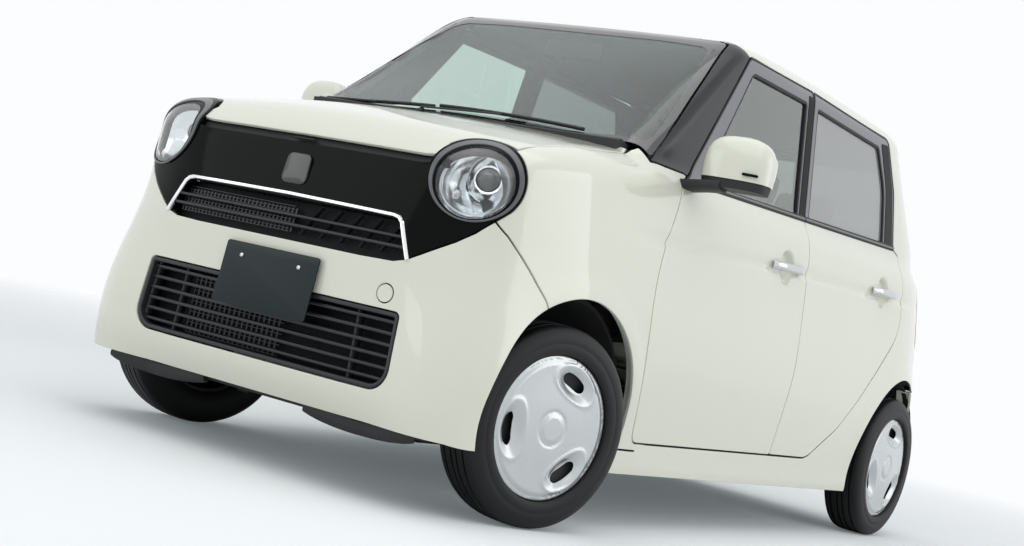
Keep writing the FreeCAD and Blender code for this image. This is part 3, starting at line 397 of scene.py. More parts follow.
@dataclass
class Skin:
    """The painted outer surface, as where a smooth function of space is zero.

    Side view, cross-section and plan are blended with a round edge, then the arches, the
    waist groove and the nose are worked in.
    """

    REACH = 1.9
    HALVINGS = 22
    SLOPE_STEP = 0.0015

    power: float = 2.5
    round_low: float = 0.085
    round_high: float = 0.045
    side: DistanceMap = field(default_factory=lambda: DistanceMap(SIDE))
    cross: DistanceMap = field(default_factory=lambda: DistanceMap(CROSS))
    plan: DistanceMap = field(default_factory=lambda: DistanceMap(PLAN))

    def value(self, p: np.ndarray) -> np.ndarray:
        """Signed height over the surface at each point."""
        x, y, z = p[:, 0], p[:, 1], p[:, 2]
        upper = smooth_step(z, 1.02, 1.14) * (1.0 - 0.6 * smooth_step(y, 1.2, 1.5))
        upper = upper * smooth_step(y, -0.6, -0.2)
        radius = self.round_low + (self.round_high - self.round_low) * upper
        half = np.abs(x) + self.taper(y, z) * smooth_step(np.abs(x), 0.0, 0.35)
        views = np.stack((self.side(y, z + self.crown(x, y, z)), self.cross(half, z), self.plan(x, y)))
        proud = np.maximum(views + radius, 0.0)
        blended = (proud ** self.power).sum(0) ** (1.0 / self.power) - radius
        return np.where(proud.sum(0) > 0, blended, views.max(0)) - self.relief(x, y, z)

    @staticmethod
    def crown(x: np.ndarray, y: np.ndarray, z: np.ndarray) -> np.ndarray:
        """How far the bonnet's and windscreen's lines drop towards their sides."""
        ahead = (1.0 - smooth_step(y, -0.85, -0.45)) * smooth_step(z, 0.82, 0.98)
        return 0.030 * (x / 0.6) ** 2 * ahead

    @staticmethod
    def taper(y: np.ndarray, z: np.ndarray) -> np.ndarray:
        """How far the flanks draw in towards the tail, more so the higher they are."""
        start = np.interp(z, (1.15, 1.50), (1.15, 0.93))
        bend = np.interp(z, (0.30, 0.65, 0.96, 1.17, 1.40), (0.25, 0.40, 0.58, 0.68, 0.76))
        behind = np.maximum(y - start, 0.0)
        return bend * behind * behind

    def relief(self, x: np.ndarray, y: np.ndarray, z: np.ndarray) -> np.ndarray:
        """How far the worked details stand proud of the blended form."""
        flank = smooth_step(np.abs(x), 0.60, 0.68)
        line = 0.888 + 0.040 * y + 0.004 * np.cos(3.0 * y)
        up = z - line
        hollow = smooth_step(up, -0.016, 0.0) * (1.0 - smooth_step(up, 0.0, 0.042))
        reach = smooth_step(y, -1.12, -0.76) * (1.0 - smooth_step(y, 1.30, 1.52))
        total = -0.0075 * hollow * reach * flank
        for axle in (FRONT_AXLE_Y, REAR_AXLE_Y):
            away = np.hypot(y - axle * MM, z - TYRE_RADIUS * MM) - ARCH_RADIUS * MM
            lip = 1.0 - smooth_step(away, 0.012, 0.075)
            total = total + 0.0055 * lip * flank * smooth_step(z, 0.25, 0.45)
        corner = smooth_step(np.abs(x), 0.38, 0.60) * (1.0 - smooth_step(y, -1.58, -1.36))
        total = total + 0.062 * corner * (1.0 - smooth_step(z, 0.33, 0.75))
        for middle in HANDLE_YS:
            along, high = (y - middle * MM) / 0.060, (z - handle_z(middle) * MM) / 0.066
            total = total - 0.022 * flank * (1.0 - smooth_step(np.hypot(along, high), 0.5, 1.0))
        return total

    def normal(self, p: np.ndarray) -> np.ndarray:
        """Outward unit normal at each point."""
        slopes = [self.value(p + step) - self.value(p - step) for step in np.eye(3) * self.SLOPE_STEP]
        return unit(np.stack(slopes, 1))

    def cast(self, origin: np.ndarray, way: np.ndarray, reach: float = REACH) -> np.ndarray:
        """Follow rays from inside the body out to its surface.

        Args:
            origin: start points, inside.
            way: unit directions.
            reach: length of the longest ray.

        Returns:
            The points where the rays leave the body.
        """
        low = np.zeros(len(origin))
        high = np.full(len(origin), reach)
        for _ in range(self.HALVINGS):
            middle = (low + high) / 2
            outside = self.value(origin + way * middle[:, None]) > 0
            high = np.where(outside, middle, high)
            low = np.where(outside, low, middle)
        return origin + way * ((low + high) / 2)[:, None]


@dataclass(frozen=True)
class Chart:
    """A flat map of the skin: straight in its middle and wrapping round the body beyond it.

    Attributes:
        out, along, up: unit directions; out points at the middle of the mapped skin.
        centre: distance along out of the turning centres, in metres.
        span: (low, high) of the straight part along the along axis.
        rise: (low, high) of the straight part along the up axis.
        radius: turning radius that keeps lengths about true.
    """

    out: tuple[float, float, float]
    along: tuple[float, float, float]
    up: tuple[float, float, float]
    centre: float
    span: tuple[float, float]
    rise: tuple[float, float]
    radius: float

    def rays(self, flat: np.ndarray) -> tuple[np.ndarray, np.ndarray]:
        """Ray origins and directions of points on the map."""
        m, a, b = (np.array(v, float) for v in (self.out, self.along, self.up))
        sa = np.clip(flat[:, 0], *self.span)
        sb = np.clip(flat[:, 1], *self.rise)
        turn = (flat[:, 0] - sa) / self.radius
        lift = (flat[:, 1] - sb) / self.radius
        origin = self.centre * m + sa[:, None] * a + sb[:, None] * b
        level = np.cos(turn)[:, None] * m + np.sin(turn)[:, None] * a
        return origin, np.cos(lift)[:, None] * level + np.sin(lift)[:, None] * b

    def flat(self, p: np.ndarray) -> np.ndarray:
        """Places on the map of points in space."""
        m, a, b = (np.array(v, float) for v in (self.out, self.along, self.up))
        pa, pb, pm = p @ a, p @ b, p @ m - self.centre
        sa, sb = np.clip(pa, *self.span), np.clip(pb, *self.rise)
        turn = np.arctan2(pa - sa, pm)
        lift = np.arctan2(pb - sb, np.hypot(pm, pa - sa))
        return np.stack((sa + self.radius * turn, sb + self.radius * lift), 1)


class View(Enum):
    """Drawing views, each with the axis it looks along and its two drawn axes."""

    LEFT = ((1, 0, 0), 1, 2, 0.30)
    FRONT = ((0, -1, 0), 0, 2, 1.20)
    REAR = ((0, 1, 0), 0, 2, 1.20)
    TOP = ((0, 0, 1), 0, 1, 0.60)


SKIN = Skin()
FLANK = Chart((1, 0, 0), (0, 1, 0), (0, 0, 1), 0.36, (-1.15, 1.25), (0.36, 1.26), 0.33)
WING = Chart((1, 0, 0), (0, 1, 0), (0, 0, 1), 0.36, (-1.30, 1.25), (0.36, 0.86), 0.40)
NOSE = Chart((0, -1, 0), (1, 0, 0), (0, 0, 1), 1.22, (-0.40, 0.40), (0.40, 0.70), 0.44)
TAIL = Chart((0, 1, 0), (-1, 0, 0), (0, 0, 1), 1.20, (-0.36, 0.36), (0.40, 1.20), 0.45)
ROOF = Chart((0, 0, 1), (1, 0, 0), (0, 1, 0), 1.00, (-0.40, 0.40), (-0.10, 1.20), 0.55)
HOOD = Chart((0, 0, 1), (1, 0, 0), (0, 1, 0), 0.60, (-0.42, 0.42), (-1.40, -0.90), 0.40)
SLOPE = Chart((0, -0.6, 0.8), (1, 0, 0), (0, 0.8, 0.6), 0.70, (-0.45, 0.45), (0.00, 0.60), 0.40)


def apart(loops: Sequence[np.ndarray], p: np.ndarray, reach: float) -> np.ndarray:
    """Which of the points are farther than reach from every point of the loops."""
    spots = np.concatenate(loops)
    tree = KDTree(len(spots))
    for k, spot in enumerate(spots):
        tree.insert((spot[0], spot[1], 0.0), k)
    tree.balance()
    return np.array([tree.find((q[0], q[1], 0.0))[2] > reach for q in p], bool)


def moved(loop: np.ndarray, depth: float) -> np.ndarray:
    """Move a dense closed loop on a map inwards; a negative depth, in metres, moves it out."""
    after = np.roll(loop, -1, 0)
    if (loop[:, 0] * after[:, 1] - after[:, 0] * loop[:, 1]).sum() < 0:
        loop = loop[::-1]
    sides = []
    for way in (loop - np.roll(loop, 1, 0), np.roll(loop, -1, 0) - loop):
        way = unit(way)
        sides.append(np.stack((-way[:, 1], way[:, 0]), 1))
    middle = unit(sides[0] + sides[1])
    lean = np.clip((middle * sides[0]).sum(1, keepdims=True), 0.6, 1.0)
    return loop + middle * depth / lean


def evenly(walk: np.ndarray, step: float, closed: bool = True) -> np.ndarray:
    """Drop points closer than a fifth of the step and split stretches longer than it."""
    kept = [walk[0]]
    for p in walk[1:]:
        if np.linalg.norm(p - kept[-1]) > step * 0.2:
            kept.append(p)
    if closed and np.linalg.norm(kept[0] - kept[-1]) < step * 0.2:
        kept.pop()
    filled = []
    ends = kept[1:] + (kept[:1] if closed else [])
    for p, q in zip(kept, ends):
        pieces = max(1, int(math.ceil(np.linalg.norm(q - p) / step)))
        filled += [p + (q - p) * k / pieces for k in range(pieces)]
    if not closed:
        filled.append(kept[-1])
    return np.array(filled)


def on_skin(view: View, pairs: np.ndarray) -> np.ndarray:
    """Drop drawn points, in metres, onto the skin along the view's axis."""
    way, first, second, start = view.value
    origin = np.zeros((len(pairs), 3))
    origin[:, first], origin[:, second] = pairs[:, 0], pairs[:, 1]
    direction = np.tile(np.array(way, float), (len(pairs), 1))
    return SKIN.cast(origin + direction * start, direction)


def seam(view: View, *rows: Sequence[float]) -> np.ndarray:
    """An open seam on the skin from its points in one view, in millimetres."""
    return on_skin(view, evenly(np.array(rows, float) * MM, 0.012, False))


left_seam, front_seam, rear_seam, top_seam = (partial(seam, view) for view in View)


def ring(view: View, outline: Outline) -> np.ndarray:
    """A closed seam on the skin, from its outline in one view."""
    return on_skin(view, outline.points())


def raised(path: np.ndarray, height: float) -> np.ndarray:
    """A line on the skin lifted off it by height, in metres; a negative one sinks it."""
    return path + SKIN.normal(path) * height


def flipped(p: np.ndarray) -> np.ndarray:
    """Points on the other side of the car, in reverse order."""
    return (p * np.array((-1.0, 1.0, 1.0)))[::-1]


def patch(low: tuple[float, float], high: tuple[float, float]) -> np.ndarray:
    """A rectangle on a map, in metres."""
    corners = np.array((low, (high[0], low[1]), high, (low[0], high[1])))
    return evenly(corners, 0.014)


# ---------------------------------------------------------------- finishes
Number = Union[float, "Term"]


def operator(operation: str, swapped: bool = False) -> Callable[["Term", Number], "Term"]:
    """A Term's method for one Math operation; swapped puts the other value first."""
    def act(term: "Term", other: Number) -> "Term":
        """Add the operation's node."""
        return term.math(operation, *((other, term) if swapped else (term, other)))
    return act


class Term:
    """A shader socket with arithmetic: each operator adds one Math node."""

    def __init__(self, shader: "Shader", socket: bpy.types.NodeSocket) -> None:
        """Wrap one output socket of a shader's node."""
        self.shader = shader
        self.socket = socket

    def math(self, operation: str, *values: Number, clamp: bool = False) -> "Term":
        """Add a Math node on this tree."""
        return self.shader.add("ShaderNodeMath", {"operation": operation, "use_clamp": clamp},
                               dict(enumerate(values)))

    __add__, __radd__ = operator("ADD"), operator("ADD", True)
    __sub__, __rsub__ = operator("SUBTRACT"), operator("SUBTRACT", True)
    __mul__, __rmul__ = operator("MULTIPLY"), operator("MULTIPLY", True)

    def clamped(self) -> "Term":
        """This value held between 0 and 1."""
        return self.math("ADD", self, 0.0, clamp=True)


class Shader:
    """One material's node tree."""

    def __init__(self, name: str) -> None:
        """Start a material with a Principled surface.

        Args:
            name: the material's name.
        """
        self.material = bpy.data.materials.new(name)
        self.material.use_nodes = True
        self.tree = self.material.node_tree
        self.surface = next(n for n in self.tree.nodes if n.type == "BSDF_PRINCIPLED")
        self.coordinates = self.add("ShaderNodeTexCoord", {}, {}, "Object")

    def add(self, kind: str, settings: dict, inputs: dict, output: Union[int, str] = 0) -> Term:
        """Add any node.

        Args:
            kind: the node's type.
            settings: its properties, set first.
            inputs: values or Terms of its sockets, by name or number.
            output: which output to return.

        Returns:
            The output, wrapped.
        """
        node = self.tree.nodes.new(kind)
        for key, value in settings.items():
            setattr(node, key, value)
        for key, value in inputs.items():
            if isinstance(value, Term):
                self.tree.links.new(value.socket, node.inputs[key])
            else:
                node.inputs[key].default_value = value
        return Term(self, node.outputs[output])

    def set(self, socket: str, value: Union[Number, tuple]) -> None:
        """Give the surface's socket a value or a link."""
        if isinstance(value, Term):
            self.tree.links.new(value.socket, self.surface.inputs[socket])
        else:
            self.surface.inputs[socket].default_value = value

    def noise(self, scale: float, detail: float = 3.0) -> Term:
        """Noise on Object coordinates."""
        return self.add("ShaderNodeTexNoise", {}, {"Vector": self.coordinates, "Scale": scale,
                                                   "Detail": detail})

    def mix(self, share: Number, first: Union[Term, tuple], second: Union[Term, tuple]) -> Term:
        """Blend two colours."""
        first, second = (c if isinstance(c, Term) else (*c, 1.0) for c in (first, second))
        return self.add("ShaderNodeMix", {"data_type": "RGBA"}, {0: share, 6: first, 7: second}, 2)

    def bump(self, height: Term, strength: float, distance: float) -> None:
        """Drive the surface's normal from a height."""
        self.set("Normal", self.add("ShaderNodeBump", {}, {"Height": height, "Strength": strength,
                                                            "Distance": distance}, "Normal"))


Colour = tuple[float, float, float]
PLAIN_GRAIN = 260.0  # pattern scale, per metre, of a finish that has no grain of its own


@dataclass(frozen=True)
class Finish:
    """A surface finish: one Principled surface with its small variations.

    Attributes:
        name: the material's name.
        colour: its colour, linear.
        rough: roughness.
        metal: metallic share.
        coat: clear coat weight.
        grain: pattern scale of the fine texture, per metre; 0 leaves its bump out.
        depth: height of that texture in metres.
        vary: share by which the colour varies over the surface.
        second: colour that the variation goes towards.
        clear: transmission.
        index: index of refraction.
        specular: strength of the plain reflection.
    """

    name: str
    colour: Colour
    rough: float = 0.5
    metal: float = 0.0
    coat: float = 0.0
    grain: float = 0.0
    depth: float = 0.0002
    vary: float = 0.08
    second: Optional[Colour] = None
    clear: float = 0.0
    index: float = 1.47
    specular: float = 0.5

    def material(self) -> bpy.types.Material:
        """The finish's material, made once."""
        found = bpy.data.materials.get(self.name)
        if found is not None:
            return found
        s = Shader(self.name)
        s.set("Metallic", self.metal)
        s.set("Coat Weight", self.coat)
        s.set("Coat Roughness", 0.03)
        s.set("IOR", self.index)
        s.set("Specular IOR Level", self.specular)
        s.set("Transmission Weight", self.clear)
        if self.vary:
            share = ((s.noise(3.1, 4.0) - 0.42) * 3.0 * self.vary).clamped()
            other = self.second or tuple(c * 0.82 for c in self.colour)
            s.set("Base Color", s.mix(share, self.colour, other))
        else:
            s.set("Base Color", (*self.colour, 1.0))
        fine = s.noise(self.grain or PLAIN_GRAIN, 2.0)
        s.set("Roughness", (self.rough * (0.86 + 0.28 * fine)).clamped() if self.rough else 0.0)
        if self.grain:
            s.bump(fine, 0.6, self.depth)
        return s.material


@dataclass(frozen=True)
class Paint:
    """Pearl car paint: a base coat with fine flakes under a glossy clear coat."""

    name: str
    colour: Colour
    pearl: Colour

    def material(self) -> bpy.types.Material:
        """The paint's material, made once."""
        found = bpy.data.materials.get(self.name)
        if found is not None:
            return found
        s = Shader(self.name)
        flakes = s.add("ShaderNodeTexVoronoi", {}, {"Vector": s.coordinates, "Scale": 2600.0}, "Color")
        flake = s.add("ShaderNodeSeparateColor", {}, {"Color": flakes}, 0)
        broad = s.noise(1.7, 3.0)
        tone = s.mix((flake * 0.22 + broad * 0.30).clamped(), self.colour, self.pearl)
        s.set("Base Color", tone)
        s.set("Roughness", (0.30 + 0.12 * flake).clamped())
        s.set("Specular IOR Level", 0.45)
        s.set("Coat Weight", 1.0)
        s.set("Coat Roughness", 0.035)
        s.set("Coat IOR", 1.5)
        s.bump(s.noise(420.0, 2.0), 0.05, 0.0002)
        return s.material


@dataclass(frozen=True)
class Weave:
    """Woven seat cloth: crossing yarns with a soft sheen."""

    name: str
    colour: Colour
    shade: Colour
    pitch: float = 2.4

    def material(self) -> bpy.types.Material:
        """The cloth's material, made once."""
        found = bpy.data.materials.get(self.name)
        if found is not None:
            return found
        s = Shader(self.name)
        yarn = None
        for axis in ("X", "Z"):
            wave = s.add("ShaderNodeTexWave", {"bands_direction": axis}, {
                "Vector": s.coordinates, "Scale": 1000.0 / self.pitch / 6.2832, "Distortion": 0.6,
                "Detail": 1.0}, "Fac")
            yarn = wave if yarn is None else yarn * 0.5 + wave * 0.5
        tone = (0.35 * yarn + 0.5 * s.noise(6.0, 3.0)).clamped()
        s.set("Base Color", s.mix(tone, self.shade, self.colour))
        s.set("Roughness", (0.82 + 0.14 * yarn).clamped())
        s.set("Sheen Weight", 0.35)
        s.set("Sheen Roughness", 0.5)
        s.set("Specular IOR Level", 0.2)
        s.bump(yarn, 0.5, 0.0006)
        return s.material


IVORY = Paint("ivory_pearl_paint", (0.76, 0.775, 0.655), (0.83, 0.845, 0.735))
GLOSS_BLACK = Finish("gloss_black_trim", (0.003, 0.005, 0.004), 0.08, specular=0.07)
PILLAR_BLACK = Finish("pillar_black", (0.012, 0.015, 0.016), 0.24, grain=900, depth=1e-5, specular=0.4)
FRAME_GREY = Finish("window_frame_grey", (0.17, 0.17, 0.19), 0.24, grain=900, depth=1e-5, coat=0.3)
GRAINED = Finish("grained_black", (0.014, 0.0145, 0.0155), 0.58, grain=1400, depth=0.0001)
GRILLE_BLACK = Finish("grille_black", (0.022, 0.026, 0.029), 0.42, grain=900, depth=5e-5)
SEAL = Finish("seal_rubber", (0.012, 0.012, 0.013), 0.62, grain=700, depth=8e-5)
GREY_SEAL = Finish("grey_seal", (0.19, 0.20, 0.20), 0.42, grain=700, depth=5e-5)
GREY_RING = Finish("lamp_ring_grey", (0.10, 0.105, 0.11), 0.35, coat=0.3, grain=900, depth=3e-5)
CHROME = Finish("bright_chrome", (0.86, 0.87, 0.88), 0.06, metal=1.0, grain=300, depth=1e-5, vary=0.03)
SATIN = Finish("satin_metal", (0.62, 0.63, 0.64), 0.30, metal=1.0, grain=600, depth=3e-5)
STEEL = Finish("dull_steel", (0.16, 0.155, 0.15), 0.55, metal=0.8, grain=180, depth=0.0002, vary=0.3,
               second=(0.10, 0.075, 0.06))
UNDERSEAL = Finish("underseal", (0.018, 0.018, 0.019), 0.75, grain=350, depth=0.0006)
WHEEL_SILVER = Finish("wheel_silver", (0.58, 0.61, 0.62), 0.27, metal=0.55, coat=0.8, grain=2200,
                      depth=2e-5, vary=0.05)
TYRE_RUBBER = Finish("tyre_rubber", (0.006, 0.007, 0.0075), 0.5, grain=420, depth=0.0002, vary=0.25,
                     second=(0.014, 0.014, 0.014), specular=0.35)
TRIM = Finish("interior_trim", (0.050, 0.050, 0.048), 0.68, grain=700, depth=5e-5)
LINING = Finish("roof_lining", (0.20, 0.205, 0.195), 0.9, grain=700, depth=5e-5)
HANDLE_CHROME = Finish("handle_chrome", (0.62, 0.64, 0.65), 0.16, metal=1.0, grain=90, depth=0.0002, vary=0.1)
SCREEN_GLASS = Finish("screen_glass", (0.66, 0.80, 0.74), 0.0, clear=1.0, index=1.5, vary=0.0)
DOOR_GLASS = Finish("door_glass", (0.74, 0.84, 0.78), 0.0, clear=1.0, index=1.9, vary=0.0)
PRIVACY_GLASS = Finish("smoked_glass", (0.56, 0.58, 0.58), 0.0, clear=0.62, index=2.2, vary=0.0)
CLEAR_LENS = Finish("lamp_lens", (0.97, 0.98, 0.98), 0.0, clear=1.0, index=1.45, vary=0.0)
RED_LENS = Finish("red_lens", (0.42, 0.008, 0.010), 0.10, coat=1.0, grain=350, depth=0.0001)
BAND_BLACK = Finish("glass_band", (0.007, 0.0075, 0.008), 0.12, coat=1.0, grain=600, depth=1e-5)
PLATE_GREY = Finish("plate_grey", (0.006, 0.015, 0.016), 0.34, grain=800, depth=2e-5, specular=0.3)
REFLECTOR = Finish("lamp_reflector", (0.80, 0.84, 0.86), 0.16, metal=1.0, grain=60, depth=0.0003, vary=0.1)
DARK_GLASS = Finish("projector_glass", (0.05, 0.065, 0.06), 0.03, coat=1.0, grain=80, depth=1e-5)
# painted shade: a near-black sheet set behind the grilles stands for the shade inside them
GRILLE_SHADE = Finish("grille_shadow", (0.006, 0.007, 0.008), 0.8, grain=200, depth=0.0002)
BADGE = Finish("badge_black", (0.012, 0.013, 0.013), 0.2, coat=0.6, grain=500, depth=1e-5)
LINER = Finish("liner_felt", (0.012, 0.012, 0.013), 0.92, grain=520, depth=0.0008, vary=0.3)
DASH = Finish("dashboard_grain", (0.030, 0.030, 0.031), 0.66, grain=1500, depth=0.00025)
ENGINE_ALLOY = Finish("engine_alloy", (0.30, 0.30, 0.31), 0.52, metal=0.7, grain=240, depth=0.0006, vary=0.4,
                      second=(0.10, 0.09, 0.08))
TANK_PLASTIC = Finish("tank_plastic", (0.020, 0.021, 0.022), 0.55, grain=300, depth=0.0004)
EXHAUST_STEEL = Finish("exhaust_steel", (0.34, 0.31, 0.28), 0.42, metal=0.9, grain=120, depth=0.0003,
                       vary=0.6, second=(0.16, 0.10, 0.06))
AXLE_PAINT = Finish("chassis_paint", (0.014, 0.014, 0.015), 0.45, grain=420, depth=0.0003, vary=0.4,
                    second=(0.05, 0.035, 0.025))
RIM_LEATHER = Finish("rim_leather", (0.020, 0.019, 0.019), 0.55, grain=900, depth=0.0004)
SEAT_CLOTH = Weave("seat_cloth", (0.30, 0.275, 0.235), (0.20, 0.18, 0.15))
AnyFinish = Union[Finish, Paint, Weave]


# ---------------------------------------------------------------- making pieces
def piece(bm: BMesh, name: str, body: str, finishes: Sequence[AnyFinish],
          replaces: Sequence[str] = (), sharp: float = 32.0) -> bpy.types.Object:
    """Turn a bmesh into a finished piece that rides on a body.

    Args:
        bm: the mesh, which is freed.
        name: the piece's name.
        body: the body it moves with.
        finishes: materials by face index.
        replaces: CAD nodes it stands for.
        sharp: edges bent by more than this many degrees stay sharp.

    Returns:
        The object.
    """
    mesh = bpy.data.meshes.new(name)
    bm.normal_update()
    bm.to_mesh(mesh)
    bm.free()
    for finish in finishes:
        mesh.materials.append(finish.material())
    mesh.shade_smooth()
    mesh.set_sharp_from_angle(angle=math.radians(sharp))
    aim = mesh.attributes.get("aim")
    if aim is not None:
        vectors = np.zeros(len(mesh.vertices) * 3, np.float32)
        aim.data.foreach_get("vector", vectors)
        corner = np.zeros(len(mesh.loops), np.int32)
        mesh.loops.foreach_get("vertex_index", corner)
        vectors = vectors.reshape(-1, 3)[corner]
        plain = np.zeros(len(mesh.polygons), np.int32)
        turned = mesh.attributes["plain"].data
        turned.foreach_get("value", plain)
        counts = np.zeros(len(mesh.polygons), np.int32)
        mesh.polygons.foreach_get("loop_total", counts)
        vectors[np.repeat(plain, counts) > 0] = 0.0
        mesh.normals_split_custom_set([tuple(v) for v in vectors])
        mesh.attributes.remove(mesh.attributes["aim"])
        mesh.attributes.remove(mesh.attributes["plain"])
    obj = bpy.data.objects.new(name, mesh)
    bpy.context.scene.collection.objects.link(obj)
    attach(obj, body)
    if replaces:
        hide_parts(*replaces)
    log.info("%s: %d faces on %s", name, len(mesh.polygons), body)
    return obj


@dataclass
class Panel:
    """A pressed panel, pane or moulding that follows the skin.

    Attributes:
        chart: map of the skin that it is laid out on.
        keep: seams that it lies inside, as points in space or on the map.
        cut: seams that it lies outside.
        gap: width of the joint round it, in millimetres; half is taken off each side.
        roll: radius of its rolled edges.
        depth: thickness from the skin to its inner face.
        lift: height of its face over the skin; negative sinks it.
        step: how far its inner part stands in from its edge.
        pitch: mesh size.
        lined: give the inner face the second material.
        laid: the laid-out area, kept for the other side's panel.
        flange: material of the part of the edge behind the roll.
    """

    DEEP = 24.0
    STEP_DOWN = (9.0, 10.0)

    chart: Chart
    keep: Sequence[np.ndarray]
    cut: Sequence[np.ndarray] = ()
    gap: float = PANEL_GAP
    roll: float = 2.5
    depth: float = 30.0
    lift: float = 0.0
    step: float = 0.0
    pitch: float = 16.0
    lined: bool = True
    laid: Optional[tuple] = None
    flange: int = 0

    @property
    def inner(self) -> float:
        """Depth of the inner face, which always lies below the rolled edge."""
        return max(self.depth, self.roll + 0.5)

    def form(self, mirror: bool = False) -> BMesh:
        """Make the closed panel.

        Args:
            mirror: build it on the car's other side.

        Returns:
            The mesh; inner faces have material 1 if the panel is lined.
        """
        if self.laid is None:
            flat, triangles, loops = self._filled()
            self.laid = (*self.surface(flat), triangles, loops)
        points, normals, triangles, loops = self.laid
        side = np.array((-1.0, 1.0, 1.0)) if mirror else np.ones(3)
        points, normals = points * side, normals * side
        bm = bmesh.new()
        aim = bm.verts.layers.float_vector.new("aim")
        bm.faces.layers.int.new("plain")
        verts = [bm.verts.new(p) for p in points]
        for v, n in zip(verts, normals):
            v[aim] = Vector(n)
        for t in triangles:
            bm.faces.new([verts[k] for k in (t[::-1] if mirror else t)])
        bmesh.ops.join_triangles(bm, faces=bm.faces[:], angle_face_threshold=0.5, angle_shape_threshold=0.6)
        front = bm.faces[:]
        rims: dict[bmesh.types.BMVert, bmesh.types.BMVert] = {}
        for loop in loops:
            edge = [verts[k] for k in loop]
            base, normal = points[loop], normals[loop]
            ways = []
            for tangent in (base - np.roll(base, 1, 0), np.roll(base, -1, 0) - base):
                ways.append(unit(np.cross(tangent, normal) * (-1.0 if mirror else 1.0)))
            away = unit(ways[0] + ways[1])
            away /= np.clip((away * ways[0]).sum(1, keepdims=True), 0.6, 1.0)
            rims.update(zip(edge, self._rim(bm, edge, base, normal, away)))
        self._lining(bm, front, verts, points, normals, rims)
        return bm

    def surface(self, flat: np.ndarray) -> tuple[np.ndarray, np.ndarray]:
        """Points of the panel's face and its normals there."""
        origin, way = self.chart.rays(flat)
        points = SKIN.cast(origin, way)
        normals = SKIN.normal(points)
        return points + normals * self.lift * MM, normals

    def _rim(self, bm: BMesh, edge: list, base: np.ndarray, normal: np.ndarray,
             away: np.ndarray) -> list:
        """Roll an edge over and carry it to the panel's full depth.

        Args:
            bm: the panel.
            edge: the edge's vertices in order.
            base: their places.
            normal: the skin's normals there.
            away: directions out of the panel along the skin.

        Returns:
            The last row's vertices, in the same order.
        """
        aim = bm.verts.layers.float_vector["aim"]
        plain = bm.faces.layers.int["plain"]
        roll, depth = self.roll, self.inner
        rows = [(roll * math.sin(a), roll * (1 - math.cos(a)), a) for a in
                (math.pi * k / 8 for k in range(1, 5))]
        if self.step and depth > self.DEEP:
            rows += [(roll, self.STEP_DOWN[0], None), (roll - self.step, self.STEP_DOWN[1], None)]
        rows.append((roll - self.step, depth, None))
        for out, down, angle in rows:
            edges = [bm.edges.get((a, b)) for a, b in zip(edge, edge[1:] + edge[:1])]
            made = bmesh.ops.extrude_edge_only(bm, edges=edges)["geom"]
            fresh = {g for g in made if isinstance(g, bmesh.types.BMVert)}
            edge = [next(e.other_vert(v) for e in v.link_edges if e.other_vert(v) in fresh) for v in edge]
            for k, v in enumerate(edge):
                v.co = Vector(base[k] + away[k] * out * MM - normal[k] * down * MM)
                if angle is not None:
                    v[aim] = Vector(normal[k] * math.cos(angle) + away[k] * math.sin(angle))
            if angle is None:
                for g in made:
                    if isinstance(g, bmesh.types.BMFace):
                        g[plain] = 1
                        g.material_index = self.flange
                for a, b in zip(edge, edge[1:] + edge[:1]):
                    for f in bm.edges.get((a, b)).link_faces:
                        f[plain] = 1
        return edge

    def _lining(self, bm: BMesh, front: list, verts: list, points: np.ndarray,
                normals: np.ndarray, rims: dict) -> None:
        """Close the panel with its inner face."""
        plain = bm.faces.layers.int["plain"]
        inner = points - normals * self.inner * MM
        backs = {v: rims[v] if v in rims else bm.verts.new(inner[k]) for k, v in enumerate(verts)}
        for f in front:
            back = bm.faces.new([backs[v] for v in reversed(f.verts)])
            back[plain] = 1
            back.material_index = 1 if self.lined else 0

    def _flat(self, seams: Sequence[np.ndarray], depth: float) -> list[np.ndarray]:
        """Seams on the map, each moved in by depth."""
        loops = []
        for line in seams:
            flat = self.chart.flat(line) if line.shape[1] == 3 else line
            loops.append(moved(evenly(flat, self.pitch * MM * 0.8), depth))
        return loops

    def _filled(self) -> tuple[np.ndarray, list, list]:
        """Triangulate the panel's area with an even grid inside.

        Returns:
            Map points, triangles as index triples, and the boundary as index loops with the
            panel on their left.
        """
        spread = self.pitch * MM
        take = (self.gap / 2 + self.roll) * MM
        keep, cut = self._flat(self.keep, take), self._flat(self.cut, -take)
        low = np.max([loop.min(0) for loop in keep], 0)
        high = np.min([loop.max(0) for loop in keep], 0)
        counts = np.maximum(((high - low) / spread).astype(int), 1)
        axes = [low[k] + (np.arange(counts[k]) + 0.5) * (high[k] - low[k]) / counts[k] for k in (0, 1)]
        grid = np.stack(np.meshgrid(*axes, indexing="ij"), -1).reshape(-1, 2)
        grid = grid[self._within(grid, keep, cut)]
        inset = (self.step - self.roll + 3.0) * MM if self.step else 0.0  # clear of the stepped edge
        grid = grid[apart(keep + cut, grid, max(0.66 * spread, inset))]
        edges, start = [], 0
        for loop in keep + cut:
            count = len(loop)
            edges += [(start + k, start + (k + 1) % count) for k in range(count)]
            start += count
        flat = np.concatenate(keep + cut + [grid])
        made = delaunay_2d_cdt([Vector(p) for p in flat], edges, [], 0, 1e-6)
        spots = np.array([tuple(v) for v in made[0]])
        good = self._within(spots[np.array(made[2])].mean(1), keep, cut)
        triangles = []
        for t, ok in zip(made[2], good):
            if ok:
                a, b, c = (spots[i] for i in t)
                turn = (b[0] - a[0]) * (c[1] - a[1]) - (b[1] - a[1]) * (c[0] - a[0])
                if abs(turn) > 1e-9:
                    triangles.append(tuple(t) if turn > 0 else tuple(t)[::-1])
        return self._compact(spots, self._largest(triangles))

    def _within(self, p: np.ndarray, keep: list, cut: list) -> np.ndarray:
        """Which of the map points lie in the panel's area."""
        good = np.ones(len(p), bool)
        for loop in keep:
            good[good] = inside(loop, p[good])
        for loop in cut:
            good[good] = ~inside(loop, p[good])
        return good

